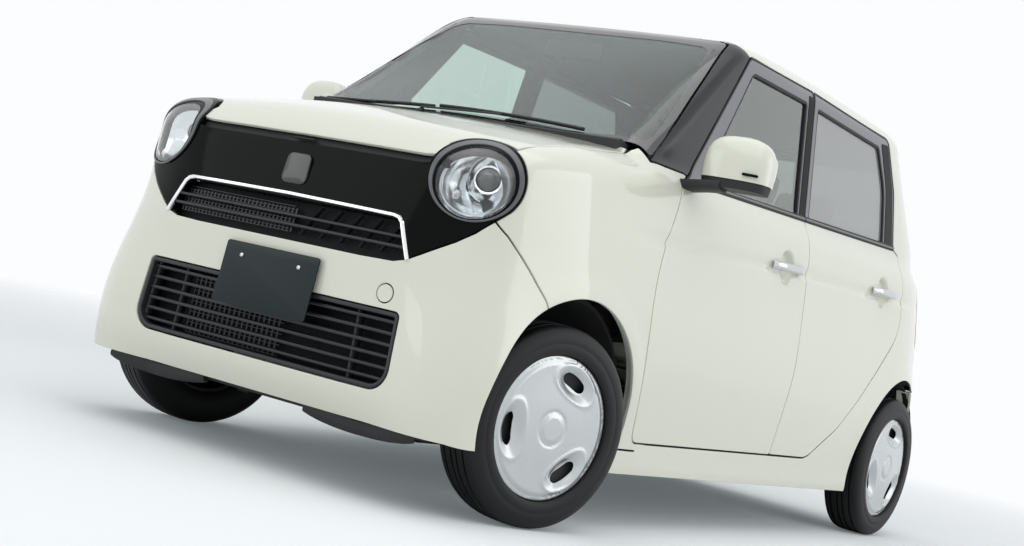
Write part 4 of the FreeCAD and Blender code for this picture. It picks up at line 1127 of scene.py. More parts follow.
    def _largest(self, triangles: list) -> list:
        """The largest group of triangles that hang together by their edges."""
        owners: dict[tuple[int, int], list[int]] = {}
        for number, t in enumerate(triangles):
            for a, b in zip(t, t[1:] + t[:1]):
                owners.setdefault((min(a, b), max(a, b)), []).append(number)
        group = list(range(len(triangles)))

        def root(number: int) -> int:
            """The triangle that stands for a triangle's group."""
            while group[number] != number:
                number = group[number]
            return number

        for pair in owners.values():
            if len(pair) == 2:
                first, second = sorted(map(root, pair))
                group[second] = first
        roots = [root(number) for number in range(len(triangles))]
        best = Counter(roots).most_common(1)[0][0]
        return [t for t, r in zip(triangles, roots) if r == best]

    def _compact(self, spots: np.ndarray, triangles: list) -> tuple[np.ndarray, list, list]:
        """Renumber the used points and trace the boundary."""
        used = sorted({k for t in triangles for k in t})
        place = {k: n for n, k in enumerate(used)}
        triangles = [tuple(place[k] for k in t) for t in triangles]
        inner = {(b, a) for t in triangles for a, b in zip(t, t[1:] + t[:1])}
        onward = {a: b for t in triangles for a, b in zip(t, t[1:] + t[:1]) if (a, b) not in inner}
        loops = []
        while onward:
            first, at = onward.popitem()
            loop = [first]
            while at != first:
                loop.append(at)
                at = onward.pop(at)
            loops.append(loop)
        return spots[used], triangles, loops


# ---------------------------------------------------------------- body shell
LENS_RADIUS = 101.0
BEZEL_RADIUS = 118.0
LAMP_YAW = 30.0


def lamp_ring(radius: float, start: float = 0.0, end: float = 360.0) -> np.ndarray:
    """An arc on the skin about the left headlamp's axis.

    Args:
        radius: radius about the axis, in millimetres.
        start: first angle in degrees, anticlockwise as seen from ahead of the lamp's outer side.
        end: last angle; a full turn leaves out the closing point.

    Returns:
        Points in space.
    """
    centre, way, across, up = lamp_frame()
    count = max(3, int(abs(end - start) / 5))  # a point every five degrees
    angles = np.radians(np.linspace(start, end, count, endpoint=abs(end - start) < 359))
    reach = radius * MM
    share = min(max((radius - LENS_RADIUS) / (BEZEL_RADIUS - LENS_RADIUS), 0.0), 1.0)
    level = reach * (1.03 + 0.07 * share) * np.cos(angles)
    high = reach * (0.96 + 0.06 * share) * np.sin(angles) - 0.012 * (1.0 - share)
    origin = np.array(centre) + np.outer(level, across) + np.outer(high, up)
    return SKIN.cast(origin, np.tile(np.array(way), (len(origin), 1)), 0.6)


def lamp_frame() -> tuple[Vector, Vector, Vector, Vector]:
    """The left lamp's centre, its outward axis and its across and up directions."""
    yaw = math.radians(LAMP_YAW)
    way = Vector((math.sin(yaw), -math.cos(yaw), 0.12)).normalized()
    across = Vector((math.cos(yaw), math.sin(yaw), 0.0))
    return Vector((532, NOSE_Y + 120, 868)) * MM - way * 0.12, way, across, across.cross(way) * -1.0


def closed(*parts: np.ndarray) -> np.ndarray:
    """Seams joined end to end into one closed seam."""
    return np.concatenate(parts)


def whole(half: np.ndarray) -> np.ndarray:
    """A closed seam from its left half, listed from the middle round to the middle."""
    return np.concatenate((half, flipped(half)))


SIDES = (("left", False), ("right", True))


@dataclass
class Body:
    """Painted panels, pillars and glass of the fixed body, the lids and the doors."""

    arches: tuple[np.ndarray, ...] = field(init=False)
    doors: np.ndarray = field(init=False)
    screen: np.ndarray = field(init=False)
    screen_side: np.ndarray = field(init=False)
    mask: np.ndarray = field(init=False)

    def __post_init__(self) -> None:
        """Draw the seams that several panels share."""
        self.arches = tuple(ring(View.LEFT, circle(y, TYRE_RADIUS, ARCH_RADIUS - 6)) for y in
                            (FRONT_AXLE_Y, REAR_AXLE_Y))
        self.doors = ring(View.LEFT, DOORS)
        self.screen = ring(View.TOP, SCREEN)
        edge = [row[:2] for row in SCREEN.corners[2:7]]
        self.screen_side = top_seam((430, -1000), *edge, (430, -402), (430, -1000))[:-1]
        lower = front_seam((0, 619), (300, 619), (400, 622), (440, 633), (476, 654), (551, 701),
                     (593, 734), (624, 768))
        upper = front_seam((452, 915), (428, 894), (395, 889), (0, 889))
        self.mask = whole(closed(lower, lamp_ring(119, -34, 128), upper))

    def build(self) -> None:
        """Make every panel."""
        self.build_sides()
        self.build_front()
        self.build_top()
        self.build_rear()
        self.door(FRONT_DOOR, FRONT_WINDOW, FRONT_STRIP, "front_door", DOOR_GLASS)
        self.door(REAR_DOOR, REAR_WINDOW, REAR_STRIP, "rear_door", PRIVACY_GLASS)

    def build_sides(self) -> None:
        """Body sides with their pillars."""
        below = patch((-2.0, -0.5), (2.4, 0.188))
        roof = top_seam((505, -700), (505, 1650), (380, 1650), (380, -700), (505, -700))
        gate = ring(View.REAR, Outline(((300, 420, 1),) + TAILGATE.corners[:5] + ((300, 1656, 1),)))
        bumper = patch((1.30, -0.3), (2.4, 0.600))
        ahead = closed(left_seam((-1140, FENDER_Z), (-760, FENDER_Z), (-700, 900), (-250, 1440)),
                       top_seam((585, -360), (470, -450), (470, -1100)),
                       left_seam((-1140, 1000), (-1140, FENDER_Z)))
        keep = patch((-1.06, -0.2), (1.794, 1.689))
        cuts = [below, roof, gate, bumper, TAIL_LAMP_SEAM, ahead, self.doors, *self.arches, self.screen_side]
        pillar = closed(top_seam((520, -970), (600, -972)),
                        left_seam((-938, 1069), (-870, 1069), (-745, 1072), (-690, 1060), (-560, 1110),
                                  (-250, 1440)),
                        top_seam((585, -364), (450, -420), (450, -900)))
        panel = Panel(FLANK, [keep], cuts, depth=60, step=18, flange=1)
        cover = Panel(FLANK, [pillar], [self.doors, self.screen_side], depth=40, gap=4)
        for name, mirror in SIDES:
            piece(panel.form(mirror), "side_panel_" + name, "body", (IVORY, TRIM),
                  ("body_side_" + name,))
            piece(cover.form(mirror), "pillar_cover_" + name, "body", (PILLAR_BLACK, TRIM))

    def build_front(self) -> None:
        """Wings, front bumper and the mask between the lamps."""
        side = closed(left_seam((-1395, 575), (-1422, 608), (-1495, 676), (-1535, 712)),
                      front_seam((657, 744), (638, 764), (610, 795)))
        bottom = closed(front_seam((0, BUMPER_Z), (655, BUMPER_Z)),
                        left_seam((-1560, BUMPER_Z), (-1400, 320), (-1400, 545)))
        keep = whole(closed(bottom, side, front_seam((560, 800), (400, 700), (0, 700))))
        cuts = [self.mask, ring(View.FRONT, LOWER_GRILLE), self.arches[0], flipped(self.arches[0])]
        tow = ring(View.FRONT, circle(400, 535, 24))
        panel = Panel(NOSE, [keep], cuts + [tow], depth=36, step=8)
        piece(panel.form(), "bumper_skin", "body", (IVORY, GRAINED), ("front_bumper",))
        cap = Panel(NOSE, [tow], gap=1.6, roll=0.8, depth=4)
        piece(cap.form(), "towing_eye_cap", "body", (IVORY, GRAINED))
        holes = [ring(View.FRONT, UPPER_GRILLE), lamp_ring(106), flipped(lamp_ring(106))]
        mask = Panel(NOSE, [self.mask], holes, gap=3, depth=30)
        piece(mask.form(), "nose_panel", "body", (GLOSS_BLACK, GRAINED), ("nose_mask",))
        bonnet = closed(front_seam((400, 920), (444, 930)), lamp_ring(124, 134, 52),
                        top_seam(*BONNET_SIDE),
                        top_seam((607, -994), (400, -994), (400, -1560)))
        wing = closed(left_seam((-1560, FENDER_Z), (-700, FENDER_Z), (-700, 1058), (-745, 1072),
                           (-870, 1069)),
                      top_seam((655, -946), (614, -960), (603, -1004), (500, -1500)),
                      front_seam((500, 950), (500, 760), (600, 600)))
        nose = closed(bottom[-20:], side, front_seam((560, 700), (500, 500), (560, 250)))
        cuts = [bonnet, self.mask, self.doors, self.arches[0], nose]
        panel = Panel(WING, [wing], cuts, depth=36, step=18)
        for name, mirror in SIDES:
            nodes = ("front_fenders",) if not mirror else ()
            piece(panel.form(mirror), "wing_" + name, "body", (IVORY, GRAINED), nodes)

    def bonnet_seam(self) -> np.ndarray:
        """The bonnet's outline on the skin."""
        front = front_seam((0, 911), (395, 911), (426, 915), (446, 930))
        edge = top_seam(*BONNET_SIDE)
        rear = top_seam((600, -992), (500, -1008), (300, -1020), (0, -1024))
        return whole(closed(front, lamp_ring(124, 134, 52), edge, rear))

    def build_top(self) -> None:
        """Bonnet, windscreen and roof."""
        bonnet = Panel(HOOD, [self.bonnet_seam()], depth=36, step=8)
        piece(bonnet.form(), "bonnet_skin", "bonnet", (IVORY, GRAINED), ("bonnet",))
        roof = ring(View.TOP, Outline.mirrored(((505, -520, 1), (505, 1570, 1))))
        gate = ring(View.REAR, Outline.mirrored(((516, 1300, 1), (504, 1556, 20))))
        header = whole(top_seam((0, -388), (330, -394), (470, -404), (560, -414), (600, -420),
                            (600, -760), (0, -760)))
        panel = Panel(ROOF, [roof], [header, gate], depth=38, pitch=24, flange=1)
        piece(panel.form(), "roof_skin", "body", (IVORY, LINING), ("roof",))
        glass = Panel(SLOPE, [self.screen], gap=3, roll=0.6, depth=5, lift=-1.5, lined=False, pitch=15)
        piece(glass.form(), "windscreen_pane", "body", (SCREEN_GLASS,), ("windscreen",))
        band = Panel(SLOPE, [self.screen], [ring(View.TOP, SCREEN_CLEAR)], gap=4, roll=0.4, depth=1.2,
                     lift=-0.6, lined=False, pitch=14)
        piece(band.form(), "windscreen_band", "body", (BAND_BLACK,))

    def build_rear(self) -> None:
        """Tailgate, rear window, bumper and lamps."""
        gate = ring(View.REAR, Outline(TAILGATE.corners[:4] + TAILGATE.corners[6:]))
        window = ring(View.REAR, TAILGATE_WINDOW)
        panel = Panel(TAIL, [gate], [window], depth=38, step=8)
        piece(panel.form(), "tailgate_skin", "tailgate", (IVORY, TRIM), ("tailgate",))
        grown = ring(View.REAR, TAILGATE_WINDOW.inset(-14))
        glass = Panel(TAIL, [grown], gap=2, roll=0.6, depth=5, lift=0.5, lined=False)
        piece(glass.form(), "tailgate_pane", "tailgate", (PRIVACY_GLASS,),
              ("tailgate_glass",))
        sides = closed(rear_seam((0, BUMPER_Z + 10), (650, BUMPER_Z + 10)),
                       left_seam((1600, BUMPER_Z + 10), (1400, 300), (1400, 600)))
        top = left_seam((1400, 600), (1600, 600))
        keep = whole(closed(sides, top, rear_seam((690, 600), (0, 600))))
        bumper = Panel(TAIL, [keep], [gate, self.arches[1], flipped(self.arches[1])], depth=60, step=8)
        piece(bumper.form(), "rear_bumper_skin", "body", (IVORY, GRAINED), ("rear_bumper",))
        lamp = Panel(FLANK, [TAIL_LAMP_SEAM], gap=2.4, roll=3, depth=30, lift=2)
        for name, mirror in SIDES:
            piece(lamp.form(mirror), "tail_lamp_" + name, "body", (RED_LENS, GRAINED),
                  () if mirror else ("tail_lamps",))

    def door(self, outline: Outline, opening: Outline, strip: Outline, kind: str, glass: Finish) -> None:
        """A pair of doors: skin, window frame, pane, seals and pillar strip.

        Args:
            outline: the left door in side view.
            opening: its window in side view.
            strip: the black strip behind its window.
            kind: the doors' name without their side.
            glass: finish of the pane.
        """
        edge, window = ring(View.LEFT, outline), ring(View.LEFT, opening)
        above = closed(left_seam((-1000, belt_z(-1000) + 4), (1300, belt_z(1300) + 4)),
                       left_seam((1300, 1540), (-300, 1560), (-1000, 1110)))
        below = closed(left_seam((1300, belt_z(1300) + 4), (-1000, belt_z(-1000) + 4)),
                       left_seam((-1000, 180), (1300, 180)))
        slot = "clear_glass" if kind == "front_door" else "privacy_glass"
        grown, lip = ring(View.LEFT, opening.inset(-8)), ring(View.LEFT, opening.inset(6))
        rim = ring(View.LEFT, outline.inset(11))
        parts = (
            ("skin", "body_paint", (IVORY, TRIM),
             Panel(FLANK, [edge], [above], depth=60, step=24, pitch=9.5)),
            ("frame", "gloss_black", (FRAME_GREY, TRIM),
             Panel(FLANK, [edge], [below, window], depth=36, step=10, flange=1)),
            ("pane", slot, (glass,),
             Panel(FLANK, [grown], gap=0, roll=0.5, depth=4, lift=-9, lined=False, pitch=30)),
            ("glass_run", "black_plastic", (SEAL,),
             Panel(FLANK, [grown], [lip], gap=0, roll=1.5, depth=8, lift=-1.5, lined=False, pitch=12)),
            ("outer_seal", "black_plastic", (SEAL,),
             Panel(FLANK, [edge], [rim, below], roll=1.2, depth=6, lift=1.4, lined=False, pitch=12)),
            ("pillar_strip", "gloss_black", (GLOSS_BLACK,),
             Panel(FLANK, [ring(View.LEFT, strip)], gap=0, roll=1.0, depth=4, lift=1.6, lined=False)),
        )
        for label, material, finishes, panel in parts:
            for name, mirror in SIDES:
                body = kind + "_" + name
                nodes = {"skin": (body,), "pane": (kind + "_glass_" + name,)}.get(label, ())
                piece(panel.form(mirror), body + "_" + label, body, finishes, nodes)


TAIL_LAMP_SEAM = Outline(((1482, 775, 45), (1622, 775, 45), (1622, 1075, 60), (1482, 1075, 45))).points()


# ---------------------------------------------------------------- small shapes
def made(shape: Callable[..., None], *values: object) -> BMesh:
    """A new mesh with one basic shape in it."""
    bm = bmesh.new()
    shape(bm, *values)
    return bm


def sweep(bm: BMesh, path: np.ndarray, up: np.ndarray,
          section: Sequence[tuple[float, float]]) -> None:
    """Carry a closed section along a path.

    Args:
        bm: mesh that gets the bar.
        path: points in metres.
        up: one direction, or one for each point, that the section's second axis points along.
        section: the section's points, in millimetres, anticlockwise.
    """
    up = np.broadcast_to(np.asarray(up, float), path.shape)
    tangent = np.roll(path, -1, 0) - np.roll(path, 1, 0)
    tangent[0], tangent[-1] = path[1] - path[0], path[-1] - path[-2]
    tangent = unit(tangent)
    side = unit(np.cross(tangent, up))
    over = np.cross(side, tangent)
    shape = np.array(section) * MM
    loft(bm, path[:, None] + side[:, None] * shape[None, :, :1] + over[:, None] * shape[None, :, 1:])


def loft(bm: BMesh, rows: np.ndarray, joined: bool = False) -> None:
    """Skin over rows of points; each row is a closed loop.

    Args:
        bm: mesh that gets the skin.
        rows: array of rows, points and coordinates, in metres.
        joined: join the last row to the first instead of closing both with a face.
    """
    grid = [[bm.verts.new(p) for p in row] for row in rows]
    faces = []
    for a, b in list(zip(grid, grid[1:])) + ([(grid[-1], grid[0])] if joined else []):
        for k in range(len(a)):
            m = (k + 1) % len(a)
            faces.append(bm.faces.new((a[k], a[m], b[m], b[k])))
    if not joined:
        faces += [bm.faces.new(grid[0][::-1]), bm.faces.new(grid[-1])]
    bmesh.ops.recalc_face_normals(bm, faces=faces)


def lathe(bm: BMesh, profile: Sequence[tuple[float, float]], place: Matrix,
          steps: int = 64) -> None:
    """Spin a closed profile of (axial, radius) points, in millimetres, about the local X axis.

    Args:
        bm: mesh that gets the turned piece.
        profile: the profile; it is closed back to its start.
        place: where the piece's origin and X axis go.
        steps: divisions of the full turn.
    """
    verts = [bm.verts.new((a * MM, 0.0, max(r, 0.0) * MM)) for a, r in profile]
    edges = [bm.edges.new((p, q)) for p, q in zip(verts, verts[1:] + verts[:1])
             if p.co.z > 1e-7 or q.co.z > 1e-7]
    before = set(bm.verts) - set(verts)
    bmesh.ops.spin(bm, geom=verts + edges, cent=(0, 0, 0), axis=(1, 0, 0), angle=math.tau, steps=steps,
                   use_merge=True)
    fresh = [v for v in bm.verts if v not in before]
    bmesh.ops.remove_doubles(bm, verts=fresh, dist=1e-6)
    fresh = [v for v in bm.verts if v not in before]
    bmesh.ops.transform(bm, matrix=place, verts=fresh)
    bmesh.ops.recalc_face_normals(bm, faces=list({f for v in fresh for f in v.link_faces}))


def slab(bm: BMesh, outline: Outline, depth: float, place: Matrix, bevel: float = 1.5) -> None:
    """A flat slab with rolled edges; the outline lies in local Y and Z and its front faces local +X.

    Args:
        bm: mesh that gets the slab.
        outline: its outline.
        depth: its thickness in millimetres.
        place: where it goes.
        bevel: radius of its edges in millimetres.
    """
    before = set(bm.verts)
    face = bm.faces.new([bm.verts.new((0.0, p[0], p[1])) for p in outline.points()])
    made = bmesh.ops.extrude_face_region(bm, geom=[face])["geom"]
    bmesh.ops.translate(bm, verts=[g for g in made if isinstance(g, bmesh.types.BMVert)],
                        vec=(-depth * MM, 0, 0))
    fresh = [v for v in bm.verts if v not in before]
    faces = list({f for v in fresh for f in v.link_faces})
    rims = [e for f in faces if len(f.verts) > 4 for e in f.edges]
    bmesh.ops.bevel(bm, geom=rims, offset=bevel * MM, segments=3, profile=0.5, affect="EDGES", material=-1)
    fresh = [v for v in bm.verts if v not in before]
    bmesh.ops.transform(bm, matrix=place, verts=fresh)
    bmesh.ops.recalc_face_normals(bm, faces=list({f for v in fresh for f in v.link_faces}))


def pillow(bm: BMesh, centre: tuple[float, float, float], size: tuple[float, float, float],
           power: float = 4.0, tilt: float = 0.0, cuts: int = 14) -> None:
    """A rounded block, in millimetres, leaning back by tilt degrees.

    Args:
        bm: mesh that gets the block.
        centre: its middle.
        size: its full size.
        power: 2 for an egg; higher is squarer.
        tilt: lean about X.
        cuts: subdivisions.
    """
    made = bmesh.ops.create_cube(bm, size=2.0)["verts"]
    edges = list({e for v in made for e in v.link_edges})
    before = set(bm.verts) - set(made)
    bmesh.ops.subdivide_edges(bm, edges=edges, cuts=cuts, use_grid_fill=True)
    fresh = [v for v in bm.verts if v not in before]
    half = [d * MM / 2 for d in size]
    for v in fresh:
        length = sum(abs(c) ** power for c in v.co) ** (1.0 / power)
        v.co = Vector([c / length * h for c, h in zip(v.co, half)])
    bmesh.ops.transform(bm, matrix=leaning(centre, tilt), verts=fresh)


def leaning(centre: Sequence[float], tilt: float) -> Matrix:
    """A transform to centre, in millimetres, that leans back by tilt degrees."""
    return Matrix.Translation(Vector(centre) * MM) @ Matrix.Rotation(math.radians(tilt), 4, "X")


def aimed(origin: Sequence[float], way: Sequence[float]) -> Matrix:
    """A transform that puts local X along way and keeps local Z as upright as it can."""
    x = Vector(way).normalized()
    z = (Vector((0, 0, 1)) - x * x.z).normalized()
    y = z.cross(x)
    return Matrix.Translation(Vector(origin)) @ Matrix((x, y, z)).transposed().to_4x4()


def mirrored_copy(bm: BMesh) -> BMesh:
    """The same mesh on the car's other side, facing outwards."""
    other = bm.copy()
    bmesh.ops.scale(other, vec=(-1, 1, 1), verts=other.verts)
    bmesh.ops.reverse_faces(other, faces=other.faces)
    return other


OVAL = tuple((math.cos(math.tau * k / 16), math.sin(math.tau * k / 16)) for k in range(16))


def oval(width: float, height: float) -> list[tuple[float, float]]:
    """A rounded bar's section, in millimetres."""
    return [(a * width / 2, b * height / 2) for a, b in OVAL]


# ---------------------------------------------------------------- wheels
@dataclass
class WheelCover(Panel):
    """A pressed wheel cover with three dished slots, laid out on the wheel's plane."""

    SLOT_RADIUS = 0.143

    place: Matrix = field(default_factory=Matrix)
    slots: tuple[float, ...] = ()

    def surface(self, flat: np.ndarray) -> tuple[np.ndarray, np.ndarray]:
        """Points and normals of the cover's face."""
        h = 0.0008
        slope = [(self.height(flat + d) - self.height(flat - d)) / (2 * h) for d in np.eye(2) * h]
        points = np.column_stack((self.height(flat), flat))
        normals = unit(np.column_stack((np.ones(len(flat)), -slope[0], -slope[1])))
        turn = np.array(self.place)
        return points @ turn[:3, :3].T + turn[:3, 3], normals @ turn[:3, :3].T

    def height(self, flat: np.ndarray) -> np.ndarray:
        """Height of the face over the wheel's middle plane, in metres."""
        r = np.hypot(flat[:, 0], flat[:, 1])
        angle = np.arctan2(flat[:, 1], flat[:, 0])
        dome = 0.075 - 0.004 * smooth_step(r, 0.045, 0.165) - 0.007 * smooth_step(r, 0.172, 0.195)
        dome += 0.0020 * np.exp(-((r - 0.192) / 0.0035) ** 2)
        dome += 0.0026 * (1 - smooth_step(r, 0.030, 0.040)) - 0.0022 * np.exp(-((r - 0.046) / 0.005) ** 2)
        for slot in self.slots:
            turn = (angle - math.radians(slot) + math.pi) % math.tau - math.pi
            along, across = self.SLOT_RADIUS * turn, r - 0.139
            away = np.sqrt((along / 0.080) ** 2 + (across / 0.044) ** 2)
            dome -= 0.017 * (1 - smooth_step(away, 0.35, 1.0))
            dome += 0.0022 * np.exp(-((away - 1.03) / 0.10) ** 2)
        return dome

    def slot_loops(self) -> list[np.ndarray]:
        """Outlines of the three openings."""
        loops = []
        for slot in self.slots:
            base = box(44, 17, 17).points(6.0)
            angle = math.radians(slot) + base[:, 0] / self.SLOT_RADIUS
            r = 0.144 + base[:, 1] * (1.0 - (base[:, 0] / 0.08) ** 2)
            loops.append(np.stack((r * np.cos(angle), r * np.sin(angle)), 1))
        return loops


TYRE_SECTION = (
    (-68, 178), (50, 178), (52, 199), (64, 199.5), (72, 200), (75, 201), (77, 204), (78.5, 214), (78.5, 228),
    (77.6, 230), (77.6, 233), (78, 235), (76.5, 246), (73.5, 258), (68, 268), (62, 273.5), (54, 276),
    (42, 277.6), (41, 271), (36, 271), (35, 278), (14, 278.4), (13, 271.5), (8, 271.5), (7, 278.5),
    (-7, 278.5), (-8, 271.5), (-13, 271.5), (-14, 278.4), (-35, 278), (-36, 271), (-41, 271), (-42, 277.6),
    (-54, 276), (-62, 273.5), (-68, 268), (-73.5, 258), (-78, 235), (-78.5, 214), (-75.5, 198), (-72, 186),
)
RIM_SECTION = (
    (-62, 182), (-60, 168), (-30, 162), (20, 158), (30, 150), (34, 90), (26, 60), (10, 58), (10, 22),
    (38, 22), (38, 150), (46, 172), (49, 180), (46, 184), (40, 177), (-40, 177), (-58, 184),
)


@dataclass(frozen=True)
class Wheel:
    """One road wheel: its tyre, cover and barrel.

    Attributes:
        end: "front" or "rear".
        side: "left" or "right".
        centre: wheel centre in metres.
        way: outboard axis.
        turn: rotation of the cover in degrees.
    """

    end: str
    side: str
    centre: tuple[float, float, float]
    way: tuple[float, float, float]
    turn: float

    def build(self) -> None:
        """Make the wheel's three pieces."""
        body = f"{self.end}_wheel_{self.side}"
        place = aimed(self.centre, self.way)
        name = f"{self.end}_{self.side}"
        piece(made(lathe, TYRE_SECTION, place, 96), name + "_tyre", body, (TYRE_RUBBER,),
              (f"{self.end}_tyre_{self.side}",), 40)
        cover = WheelCover(FLANK, [circle(0, 0, 197).points(6.0)], (), gap=0, roll=1.2, depth=3.0, pitch=5.5,
                           lined=False, place=place, slots=tuple(self.turn + k * 120 for k in range(3)))
        cover.cut = cover.slot_loops()
        piece(cover.form(), name + "_cover", body, (WHEEL_SILVER,), (body,))
        piece(made(lathe, RIM_SECTION, place, 48), name + "_rim", body, (GRAINED,))


WHEELS = (
    Wheel("front", "left", (0.65023, -1.24114, 0.27882), (0.96541, -0.26064, -0.00675), 67.0),
    Wheel("front", "right", (-0.65023, -1.20686, 0.27882), (-0.96541, 0.26064, -0.00675), 20.0),
    Wheel("rear", "left", (0.6525, 1.296, 0.2785), (1.0, 0.0, 0.0), 80.0),
    Wheel("rear", "right", (-0.6525, 1.296, 0.2785), (-1.0, 0.0, 0.0), 35.0),
)


# ---------------------------------------------------------------- front end
def plastic(bm: BMesh, name: str, finish: Finish, nodes: Sequence[str] = ()) -> None:
    """A fixed piece of black plastic."""
    piece(bm, name, "body", (finish,), nodes)


@dataclass
class FrontEnd:
    """Lamps, grilles, plate, chrome and the lower lip; its sizes are millimetres."""

    bar_heights: tuple[float, ...] = (662, 688)
    vanes: tuple[float, ...] = (60, 130, 200, 270, 340)
    slat_heights: tuple[float, ...] = tuple(range(318, 498, 30))
    posts: tuple[float, ...] = (-452, -330, 330, 452)
    plate: Outline = box(170, 87, 9)
    bracket: Outline = box(110, 60, 12)
    bolt_reach: float = 105.0

    def build(self) -> None:
        """Make every piece."""
        self.build_lamps()
        self.build_upper_grille()
        self.build_lower_grille()
        self.build_plate()
        self.build_bonnet_gap_shade()

    def build_bonnet_gap_shade(self) -> None:
        """Painted shade under the bonnet's edge: a black sheet sunk 16 mm behind the gap, with the bonnet's
        release lever.
        """
        band = whole(closed(front_seam((0, 880), (430, 880), (470, 900)),
                            front_seam((450, 935), (426, 928), (395, 926), (0, 926))))
        # painted shade: the sunk black sheet, in the seal's rubber finish, stands for the shade of the recess
        # between bonnet and mask
        gap_shade = Panel(NOSE, [band], gap=0, roll=2, depth=12, lift=-16, lined=False)
        plastic(gap_shade.form(), "bonnet_gap_shade", SEAL)
        path = raised(front_seam((-55, 900), (20, 900)), -0.006)
        plastic(made(sweep, path, UPWARD, oval(14, 5)), "bonnet_lever", GRAINED)

    def build_lamps(self) -> None:
        """Two round headlamps."""
        rings = (  # name, slot, finish, radii, lift, roll and depth
            ("lamp_bezel", "gloss_black", GLOSS_BLACK, (BEZEL_RADIUS, 114), 4.0, 1.6, 26.0),
            ("lamp_band", "black_plastic", GREY_RING, (114, 106.5), 5.0, 2.0, 26.0),
            ("lamp_inner_ring", "gloss_black", GLOSS_BLACK, (106.5, LENS_RADIUS), 1.5, 1.6, 26.0),
            ("lamp_lens", "lamp_clear", CLEAR_LENS, (101.5,), 1.0, 0.6, 3.0),
        )
        for label, slot, finish, radii, lift, roll, depth in rings:
            keep, *cut = [lamp_ring(radius) for radius in radii]
            panel = Panel(NOSE, [keep], cut, gap=0, roll=roll, depth=depth, lift=lift, pitch=9, lined=False)
            for side, mirror in SIDES:
                nodes = ("headlamps",) if label == "lamp_lens" and not mirror else ()
                piece(panel.form(mirror), f"{label}_{side}", "body", (finish,), nodes)
        centre, way, across, up = lamp_frame()
        skin = lamp_ring(99.5)
        radial = skin - np.array(centre)
        axial = radial @ np.array(way)
        rim = radial - np.outer(axial, np.array(way))
        rows = []
        for k in range(15):
            t = k / 14
            share = math.cos(t * math.pi / 2) if k < 14 else 0.0
            depth = (axial - 0.006) * (1 - t) ** 0.8 + 0.040 * (1 - (1 - t) ** 0.8)
            ripple = 1.0 + 0.012 * math.sin(t * 26.0)
            rows.append(np.array(centre) + rim * max(share, 0.02) * ripple + np.outer(depth, np.array(way)))
        back = [row + np.array(way) * -0.003 for row in rows[::-1]]
        at = centre + way * 0.105 + across * 0.026 + up * 0.012
        spot = centre + way * 0.078 - across * 0.045 - up * 0.035
        angles = np.radians(np.linspace(112, 262, 30))
        wall = np.array(at) + np.outer(np.cos(angles) * 0.052, across) + np.outer(np.sin(angles) * 0.060, up)
        parts = (
            ("lamp_bowl", REFLECTOR, made(loft, np.array(rows + back), True)),
            ("projector_ring", CHROME, made(lathe, (
                (-60, 30), (-10, 36), (2, 39), (4, 37), (3, 33), (-6, 31), (-58, 26)), aimed(at, way), 48)),
            ("projector_glass", DARK_GLASS, made(lathe, (
                (-30, 0), (-30, 31), (-4, 31), (3, 28), (9, 21), (13, 12), (14.5, 0)), aimed(at, way), 40)),
            ("lamp_divider", CHROME, made(sweep, wall - np.array(way) * 0.012, np.array(way), oval(4, 44))),
            ("indicator_bulb", SATIN, made(lathe, (
                (-20, 0), (-20, 9), (6, 10), (16, 8), (21, 4), (22, 0)), aimed(spot, way), 24)),
        )
        for label, finish, bm in parts:
            other = mirrored_copy(bm)
            piece(bm, label + "_left", "body", (finish,))
            piece(other, label + "_right", "body", (finish,))

    def bars(self, heights: Sequence[float], reach: float, sink: float, section: list) -> BMesh:
        """Horizontal bars that follow the nose.

        Args:
            heights: z of each bar, in millimetres.
            reach: half of their length.
            sink: depth behind the skin.
            section: their section.
        """
        bm = bmesh.new()
        for z in heights:
            sweep(bm, raised(front_seam((-reach, z), (reach, z)), -sink * MM), UPWARD, section)
        return bm

    def mesh_lattice(self, x: tuple[float, float], z: tuple[float, float], sink: float,
                     pitch: tuple[float, float]) -> BMesh:
        """A fine lattice of flat strips behind the bars.

        Args:
            x: its ends.
            z: its lower and upper edge.
            sink: depth behind the skin.
            pitch: spacing of the uprights and of the level strips.
        """
        bm = bmesh.new()
        for height in np.arange(z[0], z[1], pitch[1]):
            path = raised(front_seam((x[0], height), (x[1], height))[::3], -sink * MM)
            sweep(bm, path, UPWARD, ((-3, -1), (3, -1), (3, 1), (-3, 1)))
        for place in np.arange(x[0], x[1], pitch[0]):
            path = raised(front_seam((place, z[0]), (place, z[1]))[::2], -sink * MM)
            sweep(bm, path, SIDEWAYS, ((-1, -3), (1, -3), (1, 3), (-1, 3)))
        return bm

    def build_upper_grille(self) -> None:
        """A near-black sheet that paints the shade behind the upper grille, and its bars, mesh and chrome
        arch.
        """
        grown = ring(View.FRONT, UPPER_GRILLE.inset(-6))
